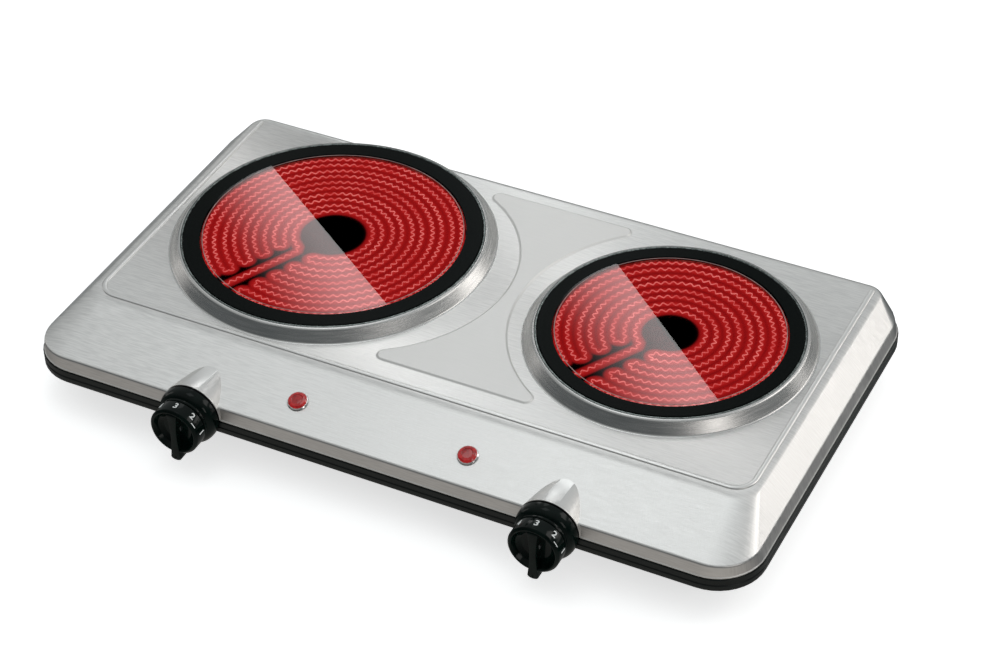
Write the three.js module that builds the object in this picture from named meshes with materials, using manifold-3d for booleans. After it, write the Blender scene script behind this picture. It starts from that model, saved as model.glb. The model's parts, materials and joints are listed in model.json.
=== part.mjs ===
// Double infrared hot plate: a stamped steel top housing over a black base pan,
// two glass-topped radiant elements, two turning knobs and two pilot lamps.
// Millimetres, +Z up, +Y towards the back. The origin is on the surface that the
// feet stand on, under the middle of the object's box, knobs included.

import * as THREE from 'three';
import { ConvexGeometry } from 'three/addons/geometries/ConvexGeometry.js';
import { mergeVertices } from 'three/addons/utils/BufferGeometryUtils.js';
import Module from 'manifold-3d';

const wasm = await Module();
wasm.setup();

// ---- Driving dimensions -------------------------------------------------

const LIP = 0.7;                      // the base pan's edge stands proud of the steel skirt
const BODY_WIDTH = 500 - 2 * LIP;     // skirt, at its lower edge
const BODY_DEPTH = 282;
const KNOB_REACH = 23;                // from the skirt to the dial's face
const SHEET = 1;                      // pressed steel
const PAN_SHEET = 1.2;
const GAP = 0.3;                      // between pieces that touch

const DECK_Z = 56;                    // cooking deck above the table
const FOLD_DROP = 14.7;               // from the deck down to the fold above the skirt
const SKIRT_DROP = 23.4;              // from the deck down to the skirt's lower edge
const LIP_DROP = 32.9;                // from the deck down to the pan's lip
const TUB_Z = 8;                      // underside of the pan's tub
const PANEL_DEPTH = 49.5;             // sloping control panel, front to back
const SIDE_BEVEL = 17;
const BACK_BEVEL = 9.4;

const HALF = BODY_WIDTH / 2;
const BACK = (BODY_DEPTH + KNOB_REACH + LIP) / 2 - LIP;
const FRONT = BACK - BODY_DEPTH;
const SKIRT_Z = DECK_Z - SKIRT_DROP;
const FOLD_Z = DECK_Z - FOLD_DROP;
const LIP_Z = DECK_Z - LIP_DROP;

const BURNER_Y = 36.4;
const GLASS_THICK = 4;
const GLASS_TOP = DECK_Z + 8.3;
const BURNERS = {
  large: { x: -113.4, glass: 99.2, glow: 88.2, rings: 10, gapAngle: -116 },
  small: { x: 129.1, glass: 84.2, glow: 74.8, rings: 8, gapAngle: -120 },
};

const KNOB_X = 123.7;
const KNOB_Z = DECK_Z - 22.5;
const COLLAR_R = 20;
const DIAL_R = 17;
const SHAFT_R = 3;
const BOSS_BACK = 27;                 // how far the boss runs back into the panel
const LAMP_X = 59;
const LAMP_BACK = 22;                 // lamps, behind the skirt's front edge

const SIDES = { left: -1, right: 1 };
const ROUND = 52;                     // facets round the glasses and their rings
const ROUND_IN = 36;                  // and round the pieces inside a dish

// ---- Materials ----------------------------------------------------------

function finish(color, roughness, metalness) {
  return new THREE.MeshStandardMaterial({ color, roughness, metalness });
}

const steel = finish(0xc8cacb, 0.35, 1);
const steelDark = finish(0x6f7472, 0.4, 1);
const zincPlate = finish(0xb9bdbd, 0.45, 1);
const panBlack = finish(0x101615, 0.45, 0);
const glassBlack = finish(0x0b1110, 0.06, 0);
const knobBlack = finish(0x0b1a17, 0.18, 0);
const fibre = finish(0xd9d4c8, 0.95, 0);
const wireAlloy = finish(0xe06060, 0.6, 0.6);
const lensRed = finish(0xb01818, 0.15, 0);
const rubber = finish(0x151515, 0.9, 0);
const ceramic = finish(0xe6e2d8, 0.6, 0);
const plasticWhite = finish(0xdedcd4, 0.5, 0);
const leadSleeve = finish(0xc9c2b0, 0.8, 0);

// ---- Solids -------------------------------------------------------------

// A closed three.js geometry as a solid, turned the right way out.
function solid(geometry) {
  const bare = geometry.clone();
  bare.deleteAttribute('normal');
  bare.deleteAttribute('uv');
  const merged = mergeVertices(bare, 1e-4);
  const vertProperties = new Float32Array(merged.attributes.position.array);
  const triVerts = new Uint32Array(merged.index.array);
  const make = () => new wasm.Manifold(new wasm.Mesh({ numProp: 3, vertProperties, triVerts }));
  const first = make();
  if (first.volume() > 0) return first;
  for (let i = 0; i < triVerts.length; i += 3) {
    [triVerts[i], triVerts[i + 1]] = [triVerts[i + 1], triVerts[i]];
  }
  return make();
}

function geometryOf(manifold) {
  const mesh = manifold.getMesh();
  const geometry = new THREE.BufferGeometry();
  geometry.setAttribute('position', new THREE.BufferAttribute(mesh.vertProperties, 3));
  geometry.setIndex(new THREE.BufferAttribute(mesh.triVerts, 1));
  geometry.computeVertexNormals();
  return geometry;
}

// Turned round the local Z axis. The profile is [radius, height] pairs.
function turned(profile, segments = 32) {
  const points = profile.map(([r, z]) => new THREE.Vector2(r, z));
  if (profile[0][0] > 0) points.push(points[0].clone());
  return solid(new THREE.LatheGeometry(points, segments).rotateX(Math.PI / 2));
}

function disc(radius, low, high, segments = 32) {
  return turned([[0, low], [radius, low], [radius, high], [0, high]], segments);
}

function tubeRing(inner, outer, low, high, segments = 32) {
  return turned([[inner, low], [outer, low], [outer, high], [inner, high]], segments);
}

function block(low, high) {
  const size = high.map((value, i) => value - low[i]);
  const centre = high.map((value, i) => (value + low[i]) / 2);
  return solid(new THREE.BoxGeometry(...size).translate(...centre));
}

// An outline in X and Z, drawn out along Y from near to far.
function drawnAlongY(points, near, far) {
  const shape = new THREE.Shape(points.map(([x, z]) => new THREE.Vector2(x, z)));
  const geometry = new THREE.ExtrudeGeometry(shape, { depth: far - near, bevelEnabled: false });
  return solid(geometry.rotateX(Math.PI / 2).translate(0, far, 0));
}

// A round bar or hole along Y.
function barAlongY(radius, x, z, near, far, segments = 24) {
  const bar = new THREE.CylinderGeometry(radius, radius, far - near, segments);
  return solid(bar.translate(x, (near + far) / 2, z));
}

// A rectangle with round corners at one height. One corner radius serves the front, one the back.
function outline({ half, front, back, frontRadius, backRadius, z }, inset = 0, lower = 0) {
  const steps = 5;
  const corners = [
    [-1, 1, frontRadius, 180],
    [1, 1, frontRadius, 270],
    [1, -1, backRadius, 0],
    [-1, -1, backRadius, 90],
  ];
  return corners.flatMap(([sx, sy, fullRadius, start]) => {
    const radius = fullRadius - inset;
    const cx = sx * (half - fullRadius);
    const cy = sy > 0 ? front + fullRadius : back - fullRadius;
    return Array.from({ length: steps + 1 }, (_, i) => {
      const a = THREE.MathUtils.degToRad(start + (90 * i) / steps);
      return new THREE.Vector3(cx + radius * Math.cos(a), cy + radius * Math.sin(a), z - lower);
    });
  });
}

function hull(...outlines) {
  return solid(new ConvexGeometry(outlines.flat()));
}

// ---- The body's outlines ------------------------------------------------

const skirtEdge = {
  half: HALF, front: FRONT, back: BACK, frontRadius: 31, backRadius: 30, z: SKIRT_Z,
};
const foldEdge = {
  half: HALF - 2.5, front: FRONT + 1.8, back: BACK - 1.6, frontRadius: 26, backRadius: 28, z: FOLD_Z,
};
const deckEdge = {
  half: HALF - SIDE_BEVEL, front: FRONT + PANEL_DEPTH, back: BACK - BACK_BEVEL,
  frontRadius: 14, backRadius: 8, z: DECK_Z,
};

function panelHeight(y) {
  const along = (y - foldEdge.front) / (deckEdge.front - foldEdge.front);
  return FOLD_Z + along * FOLD_DROP;
}

const PANEL_TILT = Math.atan2(FOLD_DROP, deckEdge.front - foldEdge.front);

// ---- Top housing --------------------------------------------------------

// The flat field between the burners: two hollow arcs, closed by round tips.
function centreField() {
  const tip = 6;
  const top = BACK - 20.4;
  const bottom = FRONT + 70;
  const left = { x: -86.9, y: 33.4, r: 100.2, side: 1 };
  const right = { x: 132.3, y: 41.5, r: 107.3, side: -1 };
  const tipOf = (arc, line, inward) => {
    const cy = line + inward * tip;
    const reach = Math.sqrt((arc.r + tip) ** 2 - (cy - arc.y) ** 2);
    const cx = arc.x + arc.side * reach;
    return { cx, cy, towards: Math.atan2(cy - arc.y, cx - arc.x) };
  };
  const topLeft = tipOf(left, top, -1);
  const topRight = tipOf(right, top, -1);
  const lowRight = tipOf(right, bottom, 1);
  const lowLeft = tipOf(left, bottom, 1);
  const shape = new THREE.Shape();
  shape.absarc(topLeft.cx, topLeft.cy, tip, topLeft.towards + Math.PI, Math.PI / 2, true);
  shape.absarc(topRight.cx, topRight.cy, tip, Math.PI / 2, topRight.towards + Math.PI, true);
  shape.absarc(right.x, right.y, right.r, topRight.towards, lowRight.towards + 2 * Math.PI, false);
  shape.absarc(lowRight.cx, lowRight.cy, tip, lowRight.towards + Math.PI, -Math.PI / 2, true);
  shape.absarc(lowLeft.cx, lowLeft.cy, tip, -Math.PI / 2, lowLeft.towards - Math.PI, true);
  shape.absarc(left.x, left.y, left.r, lowLeft.towards, topLeft.towards, false);
  return shape;
}

// A low raised area on the deck, with sloping edges.
function raised(shape, height, slope, curveSegments) {
  const rooted = 0.2;                 // sunk into the deck, so that the two join
  const geometry = new THREE.ExtrudeGeometry(shape, {
    depth: rooted,
    curveSegments,
    bevelThickness: height,
    bevelSize: slope,
    bevelOffset: -slope,
    bevelSegments: 1,
  });
  return solid(geometry.translate(0, 0, DECK_Z - rooted));
}

// The bead round the front and the sides of the deck, open at the back.
function beadShape() {
  const width = 3.6;
  const x = 227.2;
  const front = FRONT + 54.9;
  const back = BACK - 16.3;
  const corner = 13;
  const shape = new THREE.Shape();
  const end = width / 2;
  shape.moveTo(-x - end, back);
  shape.lineTo(-x - end, front + corner);
  shape.absarc(-x + corner, front + corner, corner + end, Math.PI, 1.5 * Math.PI, false);
  shape.absarc(x - corner, front + corner, corner + end, 1.5 * Math.PI, 2 * Math.PI, false);
  shape.absarc(x, back, end, 0, Math.PI, false);
  shape.absarc(x - corner, front + corner, corner - end, 0, -0.5 * Math.PI, true);
  shape.absarc(-x + corner, front + corner, corner - end, -0.5 * Math.PI, -Math.PI, true);
  shape.absarc(-x, back, end, 0, Math.PI, false);
  return shape;
}

// The half-round boss behind each knob, a cone whose axis is the knob's.
function boss(x, wall) {
  const length = BOSS_BACK + 20;
  const frontR = COLLAR_R + 0.2 - wall;
  const backR = frontR - length * 0.17;
  const cone = new THREE.CylinderGeometry(backR, frontR, length, 32);
  return solid(cone.translate(x, FRONT + wall + length / 2, KNOB_Z));
}

function panelPost(radius, length, x) {
  const post = new THREE.CylinderGeometry(radius, radius, length, 20);
  post.rotateX(Math.PI / 2 + PANEL_TILT);
  return solid(post.translate(x, FRONT + LAMP_BACK, panelHeight(FRONT + LAMP_BACK)));
}

function topHousing() {
  let shell = hull(outline(skirtEdge), outline(foldEdge), outline(deckEdge));
  let hollow = hull(
    outline(skirtEdge, SHEET, 5), outline(skirtEdge, SHEET), outline(foldEdge, SHEET, SHEET * 0.6),
    outline(deckEdge, SHEET * 0.7, SHEET),
  );
  const aboveSkirt = block([-HALF, FRONT, SKIRT_Z], [HALF, BACK, DECK_Z]);
  for (const side of Object.values(SIDES)) {
    const x = side * KNOB_X;
    shell = shell.add(boss(x, 0).intersect(aboveSkirt));
    hollow = hollow.add(boss(x, SHEET)).add(barAlongY(6, x, KNOB_Z, FRONT - 2, FRONT + 4));
    hollow = hollow.add(panelPost(5.4, 6, side * LAMP_X));
  }
  shell = shell.add(raised(centreField(), 1, 3, 14)).add(raised(beadShape(), 1, 1.2, 5));
  for (const { x, glass } of Object.values(BURNERS)) {
    const cone = turned([
      [0, DECK_Z - SHEET], [glass + 8.9, DECK_Z - SHEET], [glass + 8.2, DECK_Z],
      [glass + 3.2, GLASS_TOP - 0.8], [glass + 2.2, GLASS_TOP - 0.3], [0, GLASS_TOP - 0.3],
    ], ROUND);
    const shelf = GLASS_TOP - GLASS_THICK - GAP;
    const under = turned([
      [0, DECK_Z - 2], [glass + 7.2, DECK_Z - 2], [glass + 7.2, DECK_Z - SHEET],
      [glass + 4, shelf - SHEET], [0, shelf - SHEET],
    ], ROUND);
    const pocket = disc(glass + 1.8, shelf, GLASS_TOP + 1, ROUND);
    const mouth = disc(glass - 5, DECK_Z - 2, GLASS_TOP + 1, ROUND);
    shell = shell.add(cone.translate([x, BURNER_Y, 0]));
    hollow = hollow.add(under.add(pocket).add(mouth).translate([x, BURNER_Y, 0]));
  }
  return shell.subtract(hollow);
}

// ---- Base pan -----------------------------------------------------------

const TUB_FRONT = 20;
const TUB_SIDE = 16;
const TUB_BACK = 14;
const GLAND_Z = 16;
const GLAND_HOLE = 5.5;
const FEET = { x: 190, front: FRONT + 42, back: BACK - 34 };
const CORNER_SCREWS = { x: 241, front: FRONT + 80, back: BACK - 62 };

const lipTop = {
  half: HALF + LIP, front: FRONT - LIP, back: BACK + LIP,
  frontRadius: 31.7, backRadius: 30.7, z: SKIRT_Z - GAP,
};
const lipLow = { ...lipTop, z: LIP_Z + 1.2 };
const lipFoot = {
  ...lipTop, half: HALF - 0.3, front: FRONT + 0.3, back: BACK - 0.3, frontRadius: 30.7, z: LIP_Z,
};
const upstand = {
  half: HALF - 3.4, front: FRONT + 3.1, back: BACK - 3, frontRadius: 28, backRadius: 27, z: SKIRT_Z + 4.5,
};
const tubTop = {
  half: HALF - TUB_SIDE, front: FRONT + TUB_FRONT, back: BACK - TUB_BACK,
  frontRadius: 24, backRadius: 24, z: LIP_Z + 0.5,
};
const tubFoot = { ...tubTop, half: tubTop.half - 2, front: tubTop.front + 2, frontRadius: 22, z: TUB_Z };

function stadium(length, width) {
  const shape = new THREE.Shape();
  shape.absarc(length / 2 - width / 2, 0, width / 2, -Math.PI / 2, Math.PI / 2, false);
  shape.absarc(-length / 2 + width / 2, 0, width / 2, Math.PI / 2, 1.5 * Math.PI, false);
  return shape;
}

function ventSlots(x) {
  const length = 56;
  const width = 3.6;
  const pitch = 14;
  const rows = 5;
  const slot = new THREE.ExtrudeGeometry(stadium(length, width), {
    depth: 4, curveSegments: 4, bevelEnabled: false,
  });
  const cut = solid(slot.translate(x, 0, TUB_Z - 1));
  const first = BURNER_Y - ((rows - 1) / 2) * pitch;
  return Array.from({ length: rows }, (_, i) => cut.translate([0, first + i * pitch, 0]));
}

function basePan() {
  let body = hull(outline(lipTop), outline(lipLow), outline(lipFoot));
  body = body.add(hull(outline(tubTop), outline(tubFoot)));
  body = body.add(hull(outline(upstand), outline({ ...upstand, z: LIP_Z + 3 })));
  const t = PAN_SHEET;
  let hollow = hull(outline(lipTop, t + 2.4, -8), outline({ ...lipTop, z: LIP_Z + t }, t + 2.4));
  hollow = hollow.add(hull(outline(upstand, t, -3), outline({ ...upstand, z: LIP_Z + t + 0.1 }, t)));
  hollow = hollow.add(hull(outline(tubTop, t, -3), outline({ ...tubFoot, z: TUB_Z + t }, t)));
  for (const side of Object.values(SIDES)) {
    hollow = hollow.add(barAlongY(6, side * KNOB_X, KNOB_Z, FRONT - 3, FRONT + 8));
    for (const y of [FEET.front, FEET.back]) {
      hollow = hollow.add(disc(2.3, TUB_Z - 1, TUB_Z + 3, 12).translate([side * FEET.x, y, 0]));
    }
    for (const y of [CORNER_SCREWS.front, CORNER_SCREWS.back]) {
      hollow = hollow.add(disc(2, LIP_Z - 1, LIP_Z + 3, 12).translate([side * CORNER_SCREWS.x, y, 0]));
    }
  }
  hollow = hollow.add(barAlongY(GLAND_HOLE, 0, GLAND_Z, tubTop.back - 4, tubTop.back + 3, 20));
  for (const { x } of Object.values(BURNERS)) {
    for (const slot of ventSlots(x)) hollow = hollow.add(slot);
  }
  return body.subtract(hollow);
}

// ---- Burner pieces, round each burner's own axis ------------------------

const DISH_TOP = GLASS_TOP - GLASS_THICK - GAP - SHEET - GAP;
const DISH_LOW = 38;
const BASE_TOP = 56.3;
const ROD_Z = 54.2;                   // the limiter's rod lies in a groove of the insulation base
const ROD_R = 1.5;

function glassPlate({ glass }) {
  const top = GLASS_TOP;
  return turned([
    [0, top - GLASS_THICK], [glass, top - GLASS_THICK], [glass, top - 0.6], [glass - 0.6, top], [0, top],
  ], ROUND);
}

function trimRing({ glass }) {
  return tubeRing(glass + GAP, glass + 1.5, GLASS_TOP - GLASS_THICK, GLASS_TOP - 0.2, ROUND);
}

function rodHole(inner, outer) {
  return solid(new THREE.CylinderGeometry(ROD_R + GAP, ROD_R + GAP, outer - inner, 12)
    .rotateZ(Math.PI / 2).translate((inner + outer) / 2, 0, ROD_Z));
}

function elementDish({ glass }) {
  const r = glass - 4;
  const shell = turned([
    [0, DISH_LOW], [r - 3, DISH_LOW], [r, DISH_LOW + 3], [r, DISH_TOP],
    [r - SHEET, DISH_TOP], [r - SHEET, DISH_LOW + 3.4], [r - 3.4, DISH_LOW + SHEET], [0, DISH_LOW + SHEET],
  ], ROUND_IN);
  return shell.subtract(rodHole(r - 6, r + 3));
}

function insulationBase({ glass }) {
  const board = turned([
    [0, DISH_LOW + SHEET + GAP], [glass - 8.4, DISH_LOW + SHEET + GAP], [glass - 5.3, DISH_LOW + 4.4],
    [glass - 5.3, BASE_TOP], [0, BASE_TOP],
  ], ROUND_IN);
  return board.subtract(block([8, -4, ROD_Z - 2.5], [glass, 4, BASE_TOP + 1]));
}

function insulationWall({ glass, glow }) {
  return tubeRing(glow, glass - 5.3, BASE_TOP + GAP, GLASS_TOP - GLASS_THICK - GAP, ROUND_IN);
}

// One ribbon on edge, laid out and back in rings that turn round at the feed gap.
function heatingRibbon({ glow, rings }) {
  const inner = glow * 0.27;
  const outer = glow - 4.5;
  const halfGap = 8;
  const thick = 0.9;
  const high = 3;
  const low = BASE_TOP + GAP;
  const radii = Array.from({ length: rings }, (_, i) => outer + ((inner - outer) * i) / (rings - 1));
  const bands = radii.map((r) => {
    const open = Math.asin(halfGap / r);
    const band = new THREE.Shape();
    band.absarc(0, 0, r + thick / 2, open, 2 * Math.PI - open, false);
    band.absarc(0, 0, r - thick / 2, 2 * Math.PI - open, open, true);
    const settings = { depth: high, curveSegments: 8, bevelEnabled: false };
    return solid(new THREE.ExtrudeGeometry(band, settings).translate(0, 0, low));
  });
  const turns = radii.slice(1).map((r, i) => {
    const y = i % 2 ? -halfGap : halfGap;
    const far = Math.sqrt(radii[i] ** 2 - halfGap ** 2) + thick / 2;
    const near = Math.sqrt(r ** 2 - halfGap ** 2) - thick / 2;
    return block([near, y - thick / 2, low], [far, y + thick / 2, low + high]);
  });
  return wasm.Manifold.union([...bands, ...turns]);
}

// Temperature limiter: a rod under the ribbon in a ceramic switch head outside the dish.
function thermalLimiter({ glass }) {
  const rodEnd = 10;
  const headNear = glass - 2.4;
  const length = headNear + 2 - rodEnd;
  const rod = new THREE.CylinderGeometry(ROD_R, ROD_R, length, 12);
  rod.rotateZ(Math.PI / 2).translate(rodEnd + length / 2, 0, ROD_Z);
  const head = block([headNear, -9, 42], [headNear + 4, 9, 52]);
  const body = block([headNear, -6, 42], [headNear + 14, 6, 52]);
  const neck = block([headNear, -2.8, 50], [headNear + 4, 2.8, ROD_Z + ROD_R + 0.4]);
  return solid(rod).add(head).add(body).add(neck);
}

// A bent strip that holds the dish up from the pan's floor.
function dishSupport() {
  const low = TUB_Z + PAN_SHEET + GAP;
  const high = DISH_LOW - GAP;
  const strip = [
    [-58, low], [-44, low], [-36, high - 1], [36, high - 1], [44, low], [58, low],
    [58, low + 1], [44.6, low + 1], [36.6, high], [-36.6, high], [-44.6, low + 1], [-58, low + 1],
  ];
  return drawnAlongY(strip, -9, 9);
}

// ---- Knob group: local +Z points out of the panel, local +Y points up ----
// Heights along the axis are counted from the skirt's front face.

const COLLAR_BACK = LIP + 0.4;
const COLLAR_FRONT = 11.5;
const DIAL_BACK = COLLAR_FRONT + 0.4;
const SHAFT_TIP = 18;
const REGULATOR_FACE = -28;

function knobCollar() {
  const bore = 3.6;
  return turned([
    [bore, -2], [5.4, -2], [5.4, COLLAR_BACK], [COLLAR_R - 0.6, COLLAR_BACK], [COLLAR_R, COLLAR_BACK + 0.6],
    [COLLAR_R, COLLAR_BACK + 2.6], [COLLAR_R - 0.5, 6.6], [COLLAR_R - 1.4, 8.8], [COLLAR_R - 2.4, 10.4],
    [COLLAR_R - 3.4, COLLAR_FRONT], [bore, COLLAR_FRONT],
  ], 28);
}

// The grip bar is waisted and its tip runs past the dial's rim.
function gripBar(low, high) {
  const shape = new THREE.Shape();
  shape.moveTo(-3.9, 15.6);
  shape.quadraticCurveTo(0, 16.8, 3.9, 15.6);
  shape.quadraticCurveTo(1.9, -2, 3.9, -20.5);
  shape.quadraticCurveTo(3.4, -22.7, 0, -22.7);
  shape.quadraticCurveTo(-3.4, -22.7, -3.9, -20.5);
  shape.quadraticCurveTo(-1.9, -2, -3.9, 15.6);
  const settings = { depth: high - low, curveSegments: 8, bevelEnabled: false };
  return solid(new THREE.ExtrudeGeometry(shape, settings).translate(0, 0, low));
}

function dial() {
  const body = turned([
    [0, DIAL_BACK], [DIAL_R - 0.6, DIAL_BACK], [DIAL_R, DIAL_BACK + 0.6], [DIAL_R, KNOB_REACH - 1.2],
    [DIAL_R - 1.2, KNOB_REACH], [0, KNOB_REACH],
  ], 32);
  const scoop = disc(DIAL_R - 3, KNOB_REACH - 6, KNOB_REACH + 1, 32);
  const bar = gripBar(KNOB_REACH - 8, KNOB_REACH);
  return body.subtract(scoop).add(bar).subtract(disc(SHAFT_R + 0.2, DIAL_BACK - 1, SHAFT_TIP + 0.3, 20));
}

function regulatorShaft() {
  const shaft = disc(SHAFT_R, REGULATOR_FACE - 8, SHAFT_TIP, 20);
  return shaft.subtract(block([-4, 2, 12], [4, 4, SHAFT_TIP + 1]));
}

function regulator() {
  const body = block([-15, -13, REGULATOR_FACE - 24], [15, 13, REGULATOR_FACE]);
  const bush = disc(5, REGULATOR_FACE - 1, REGULATOR_FACE + 9, 20);
  const tagEnds = [REGULATOR_FACE - 30, REGULATOR_FACE - 23];
  const tags = [-9, -3, 3, 9].map((x) => block([x - 1.2, -8, tagEnds[0]], [x + 1.2, -7, tagEnds[1]]));
  const drilled = body.add(bush).subtract(disc(SHAFT_R + 0.2, REGULATOR_FACE - 9, REGULATOR_FACE + 12, 20));
  return tags.reduce((whole, tag) => whole.add(tag), drilled);
}

function regulatorNut() {
  const hexagon = disc(8.5, REGULATOR_FACE + 1.9, REGULATOR_FACE + 5.4, 6);
  return hexagon.subtract(disc(5.2, REGULATOR_FACE, REGULATOR_FACE + 7, 20));
}

function regulatorBracket() {
  const floor = TUB_Z + PAN_SHEET + GAP - KNOB_Z;
  const plateBack = REGULATOR_FACE + GAP;
  const plate = block([-18, floor, plateBack], [18, 12, plateBack + 1.2]);
  const foot = block([-18, floor, plateBack - 22], [18, floor + 1.2, plateBack + 1]);
  return plate.add(foot).subtract(disc(5.3, plateBack - 1, plateBack + 3, 20));
}

// ---- Pilot lamps: local +Z is square to the panel -----------------------

// The bezel sits on the panel and carries the tube of the lamp under it.
function lampBody() {
  return turned([
    [0, -18], [4.2, -18], [4.9, -17], [4.9, 0.3], [6.8, 0.3], [6.8, 0.8], [6.2, 1.4], [5.6, 1.4],
    [5.6, 0.9], [4.2, 0.9], [4.2, -6], [0, -6],
  ], 16);
}

// A cut lens: two rows of flat facets under a small table.
function lampLens() {
  return turned([[0, -5], [3.9, -5], [3.9, 1.2], [5.3, 1.2], [5.3, 1.8], [4.1, 3], [2.1, 3.6], [0, 3.7]], 12);
}

// ---- Small pieces -------------------------------------------------------

function foot() {
  return turned([
    [2.4, 3], [5.2, 3], [5.2, 0], [8.4, 0], [9.6, 1.2], [10.2, TUB_Z - GAP], [2.4, TUB_Z - GAP],
  ], 16);
}

function panScrew(head, headHigh, shank, length) {
  const tip = headHigh + length;
  return turned([[0, 0], [head, 0], [head, headHigh], [shank, headHigh], [shank, tip], [0, tip]], 8);
}

// A Z-shaped strip from under the deck to the pan's lip, in X and Z for the right side.
function cornerBracket() {
  const top = DECK_Z - SHEET - GAP;
  const low = LIP_Z + PAN_SHEET + GAP;
  const strip = [
    [214, top - 1], [227, top - 1], [227, low], [246, low],
    [246, low + 1], [228, low + 1], [228, top], [214, top],
  ];
  return drawnAlongY(strip, -7, 7).subtract(disc(2, low - 1, low + 2, 12).translate([CORNER_SCREWS.x, 0, 0]));
}

function cordGland() {
  const wall = PAN_SHEET;
  return turned([
    [3.7, -wall - GAP - 2], [6.6, -wall - GAP - 2], [6.6, -wall - GAP], [5.2, -wall - GAP], [5.2, GAP],
    [6.6, GAP], [6.6, 2.3], [5.4, 4.3], [3.7, 4.3],
  ], 16);
}

function terminalBlock() {
  let body = block([-18, -9, 0], [18, 9, 14]);
  for (const x of [-12, 0, 12]) {
    body = body.subtract(disc(2.4, 6, 15, 10).translate([x, 0, 0]));
    body = body.subtract(barAlongY(1.8, x, 4, -10, 10, 10));
  }
  return body;
}

// An insulated lead inside the housing.
function lead(points) {
  const path = new THREE.CatmullRomCurve3(points.map((p) => new THREE.Vector3(...p)));
  const section = new THREE.Shape().absarc(0, 0, 1.4, 0, 2 * Math.PI, false);
  return solid(new THREE.ExtrudeGeometry(section, { steps: 18, curveSegments: 2, extrudePath: path }));
}

// ---- Assembly -----------------------------------------------------------

const group = new THREE.Group();

function place(parent, name, shape, material) {
  const mesh = new THREE.Mesh(geometryOf(shape), material);
  mesh.name = name;
  parent.add(mesh);
  return mesh;
}

function subGroup(parent, x, y, z) {
  const child = new THREE.Group();
  child.position.set(x, y, z);
  parent.add(child);
  return child;
}

place(group, 'top_housing', topHousing(), steel);
place(group, 'base_pan', basePan(), panBlack);

for (const [size, burner] of Object.entries(BURNERS)) {
  const at = subGroup(group, burner.x, BURNER_Y, 0);
  place(at, `glass_plate_${size}`, glassPlate(burner), glassBlack);
  place(at, `trim_ring_${size}`, trimRing(burner), steelDark);
  place(at, `dish_support_${size}`, dishSupport(), zincPlate);
  const feed = subGroup(at, 0, 0, 0);
  feed.rotation.z = THREE.MathUtils.degToRad(burner.gapAngle);
  place(feed, `element_dish_${size}`, elementDish(burner), zincPlate);
  place(feed, `insulation_base_${size}`, insulationBase(burner), fibre);
  place(feed, `insulation_wall_${size}`, insulationWall(burner), fibre);
  place(feed, `heating_ribbon_${size}`, heatingRibbon(burner), wireAlloy);
  place(feed, `thermal_limiter_${size}`, thermalLimiter(burner), ceramic);
}

for (const [name, side] of Object.entries(SIDES)) {
  const knob = subGroup(group, side * KNOB_X, FRONT, KNOB_Z);
  knob.rotation.x = Math.PI / 2;
  place(knob, `knob_collar_${name}`, knobCollar(), knobBlack);
  place(knob, `dial_${name}`, dial(), knobBlack);
  place(knob, `regulator_shaft_${name}`, regulatorShaft(), zincPlate);
  place(knob, `regulator_${name}`, regulator(), plasticWhite);
  place(knob, `regulator_nut_${name}`, regulatorNut(), zincPlate);
  place(knob, `regulator_bracket_${name}`, regulatorBracket(), zincPlate);

  const lampY = FRONT + LAMP_BACK;
  const lamp = subGroup(group, side * LAMP_X, lampY, panelHeight(lampY));
  lamp.rotation.x = PANEL_TILT;
  place(lamp, `lamp_body_${name}`, lampBody(), steelDark);
  place(lamp, `lamp_lens_${name}`, lampLens(), lensRed);

  for (const end of ['front', 'back']) {
    const footAt = subGroup(group, side * FEET.x, FEET[end], 0);
    place(footAt, `foot_${end}_${name}`, foot(), rubber);
    const footScrew = place(footAt, `foot_screw_${end}_${name}`, panScrew(3.8, 1.6, 1.9, 10), zincPlate);
    footScrew.position.z = 1.1;

    const cornerAt = subGroup(group, 0, CORNER_SCREWS[end], 0);
    cornerAt.rotation.z = side > 0 ? 0 : Math.PI;
    place(cornerAt, `corner_bracket_${end}_${name}`, cornerBracket(), zincPlate);
    const cornerScrew = place(cornerAt, `corner_screw_${end}_${name}`, panScrew(3.4, 1.6, 1.6, 6), zincPlate);
    cornerScrew.position.set(CORNER_SCREWS.x, 0, LIP_Z - 1.6 - GAP);
  }
}

const gland = subGroup(group, 0, tubTop.back, GLAND_Z);
gland.rotation.x = -Math.PI / 2;
place(gland, 'cord_gland', cordGland(), rubber);

const terminalAt = subGroup(group, 0, tubTop.back - 30, TUB_Z + PAN_SHEET + GAP);
place(terminalAt, 'terminal_block', terminalBlock(), ceramic);

const leadHeight = TUB_Z + 8;
const regulatorBack = FRONT - REGULATOR_FACE + 31;
for (const [name, side] of Object.entries(SIDES)) {
  const route = [
    [side * 12, tubTop.back - 40, leadHeight],
    [side * 11, 60, leadHeight - 2],
    [side * 14, 0, leadHeight - 2],
    [side * 60, -48, leadHeight + 2],
    [side * (KNOB_X - 9), regulatorBack + 3, KNOB_Z - 7.5],
  ];
  place(group, `supply_lead_${name}`, lead(route), leadSleeve);
}

export default group;
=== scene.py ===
"""Double infrared hot plate: the fine surface and the finishes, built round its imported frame.

Laid out as an add-on: one operator makes each piece or group of like pieces, and main() calls
them in order. Lengths are in metres, +Z is up and the knobs face -Y.
"""

import json
from math import atan2, cos, degrees, exp, hypot, pi, radians, sin, sqrt

import bmesh
import bpy
from bpy.props import FloatProperty, FloatVectorProperty, PointerProperty
from mathutils import Matrix, Vector
from mathutils.kdtree import KDTree


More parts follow.
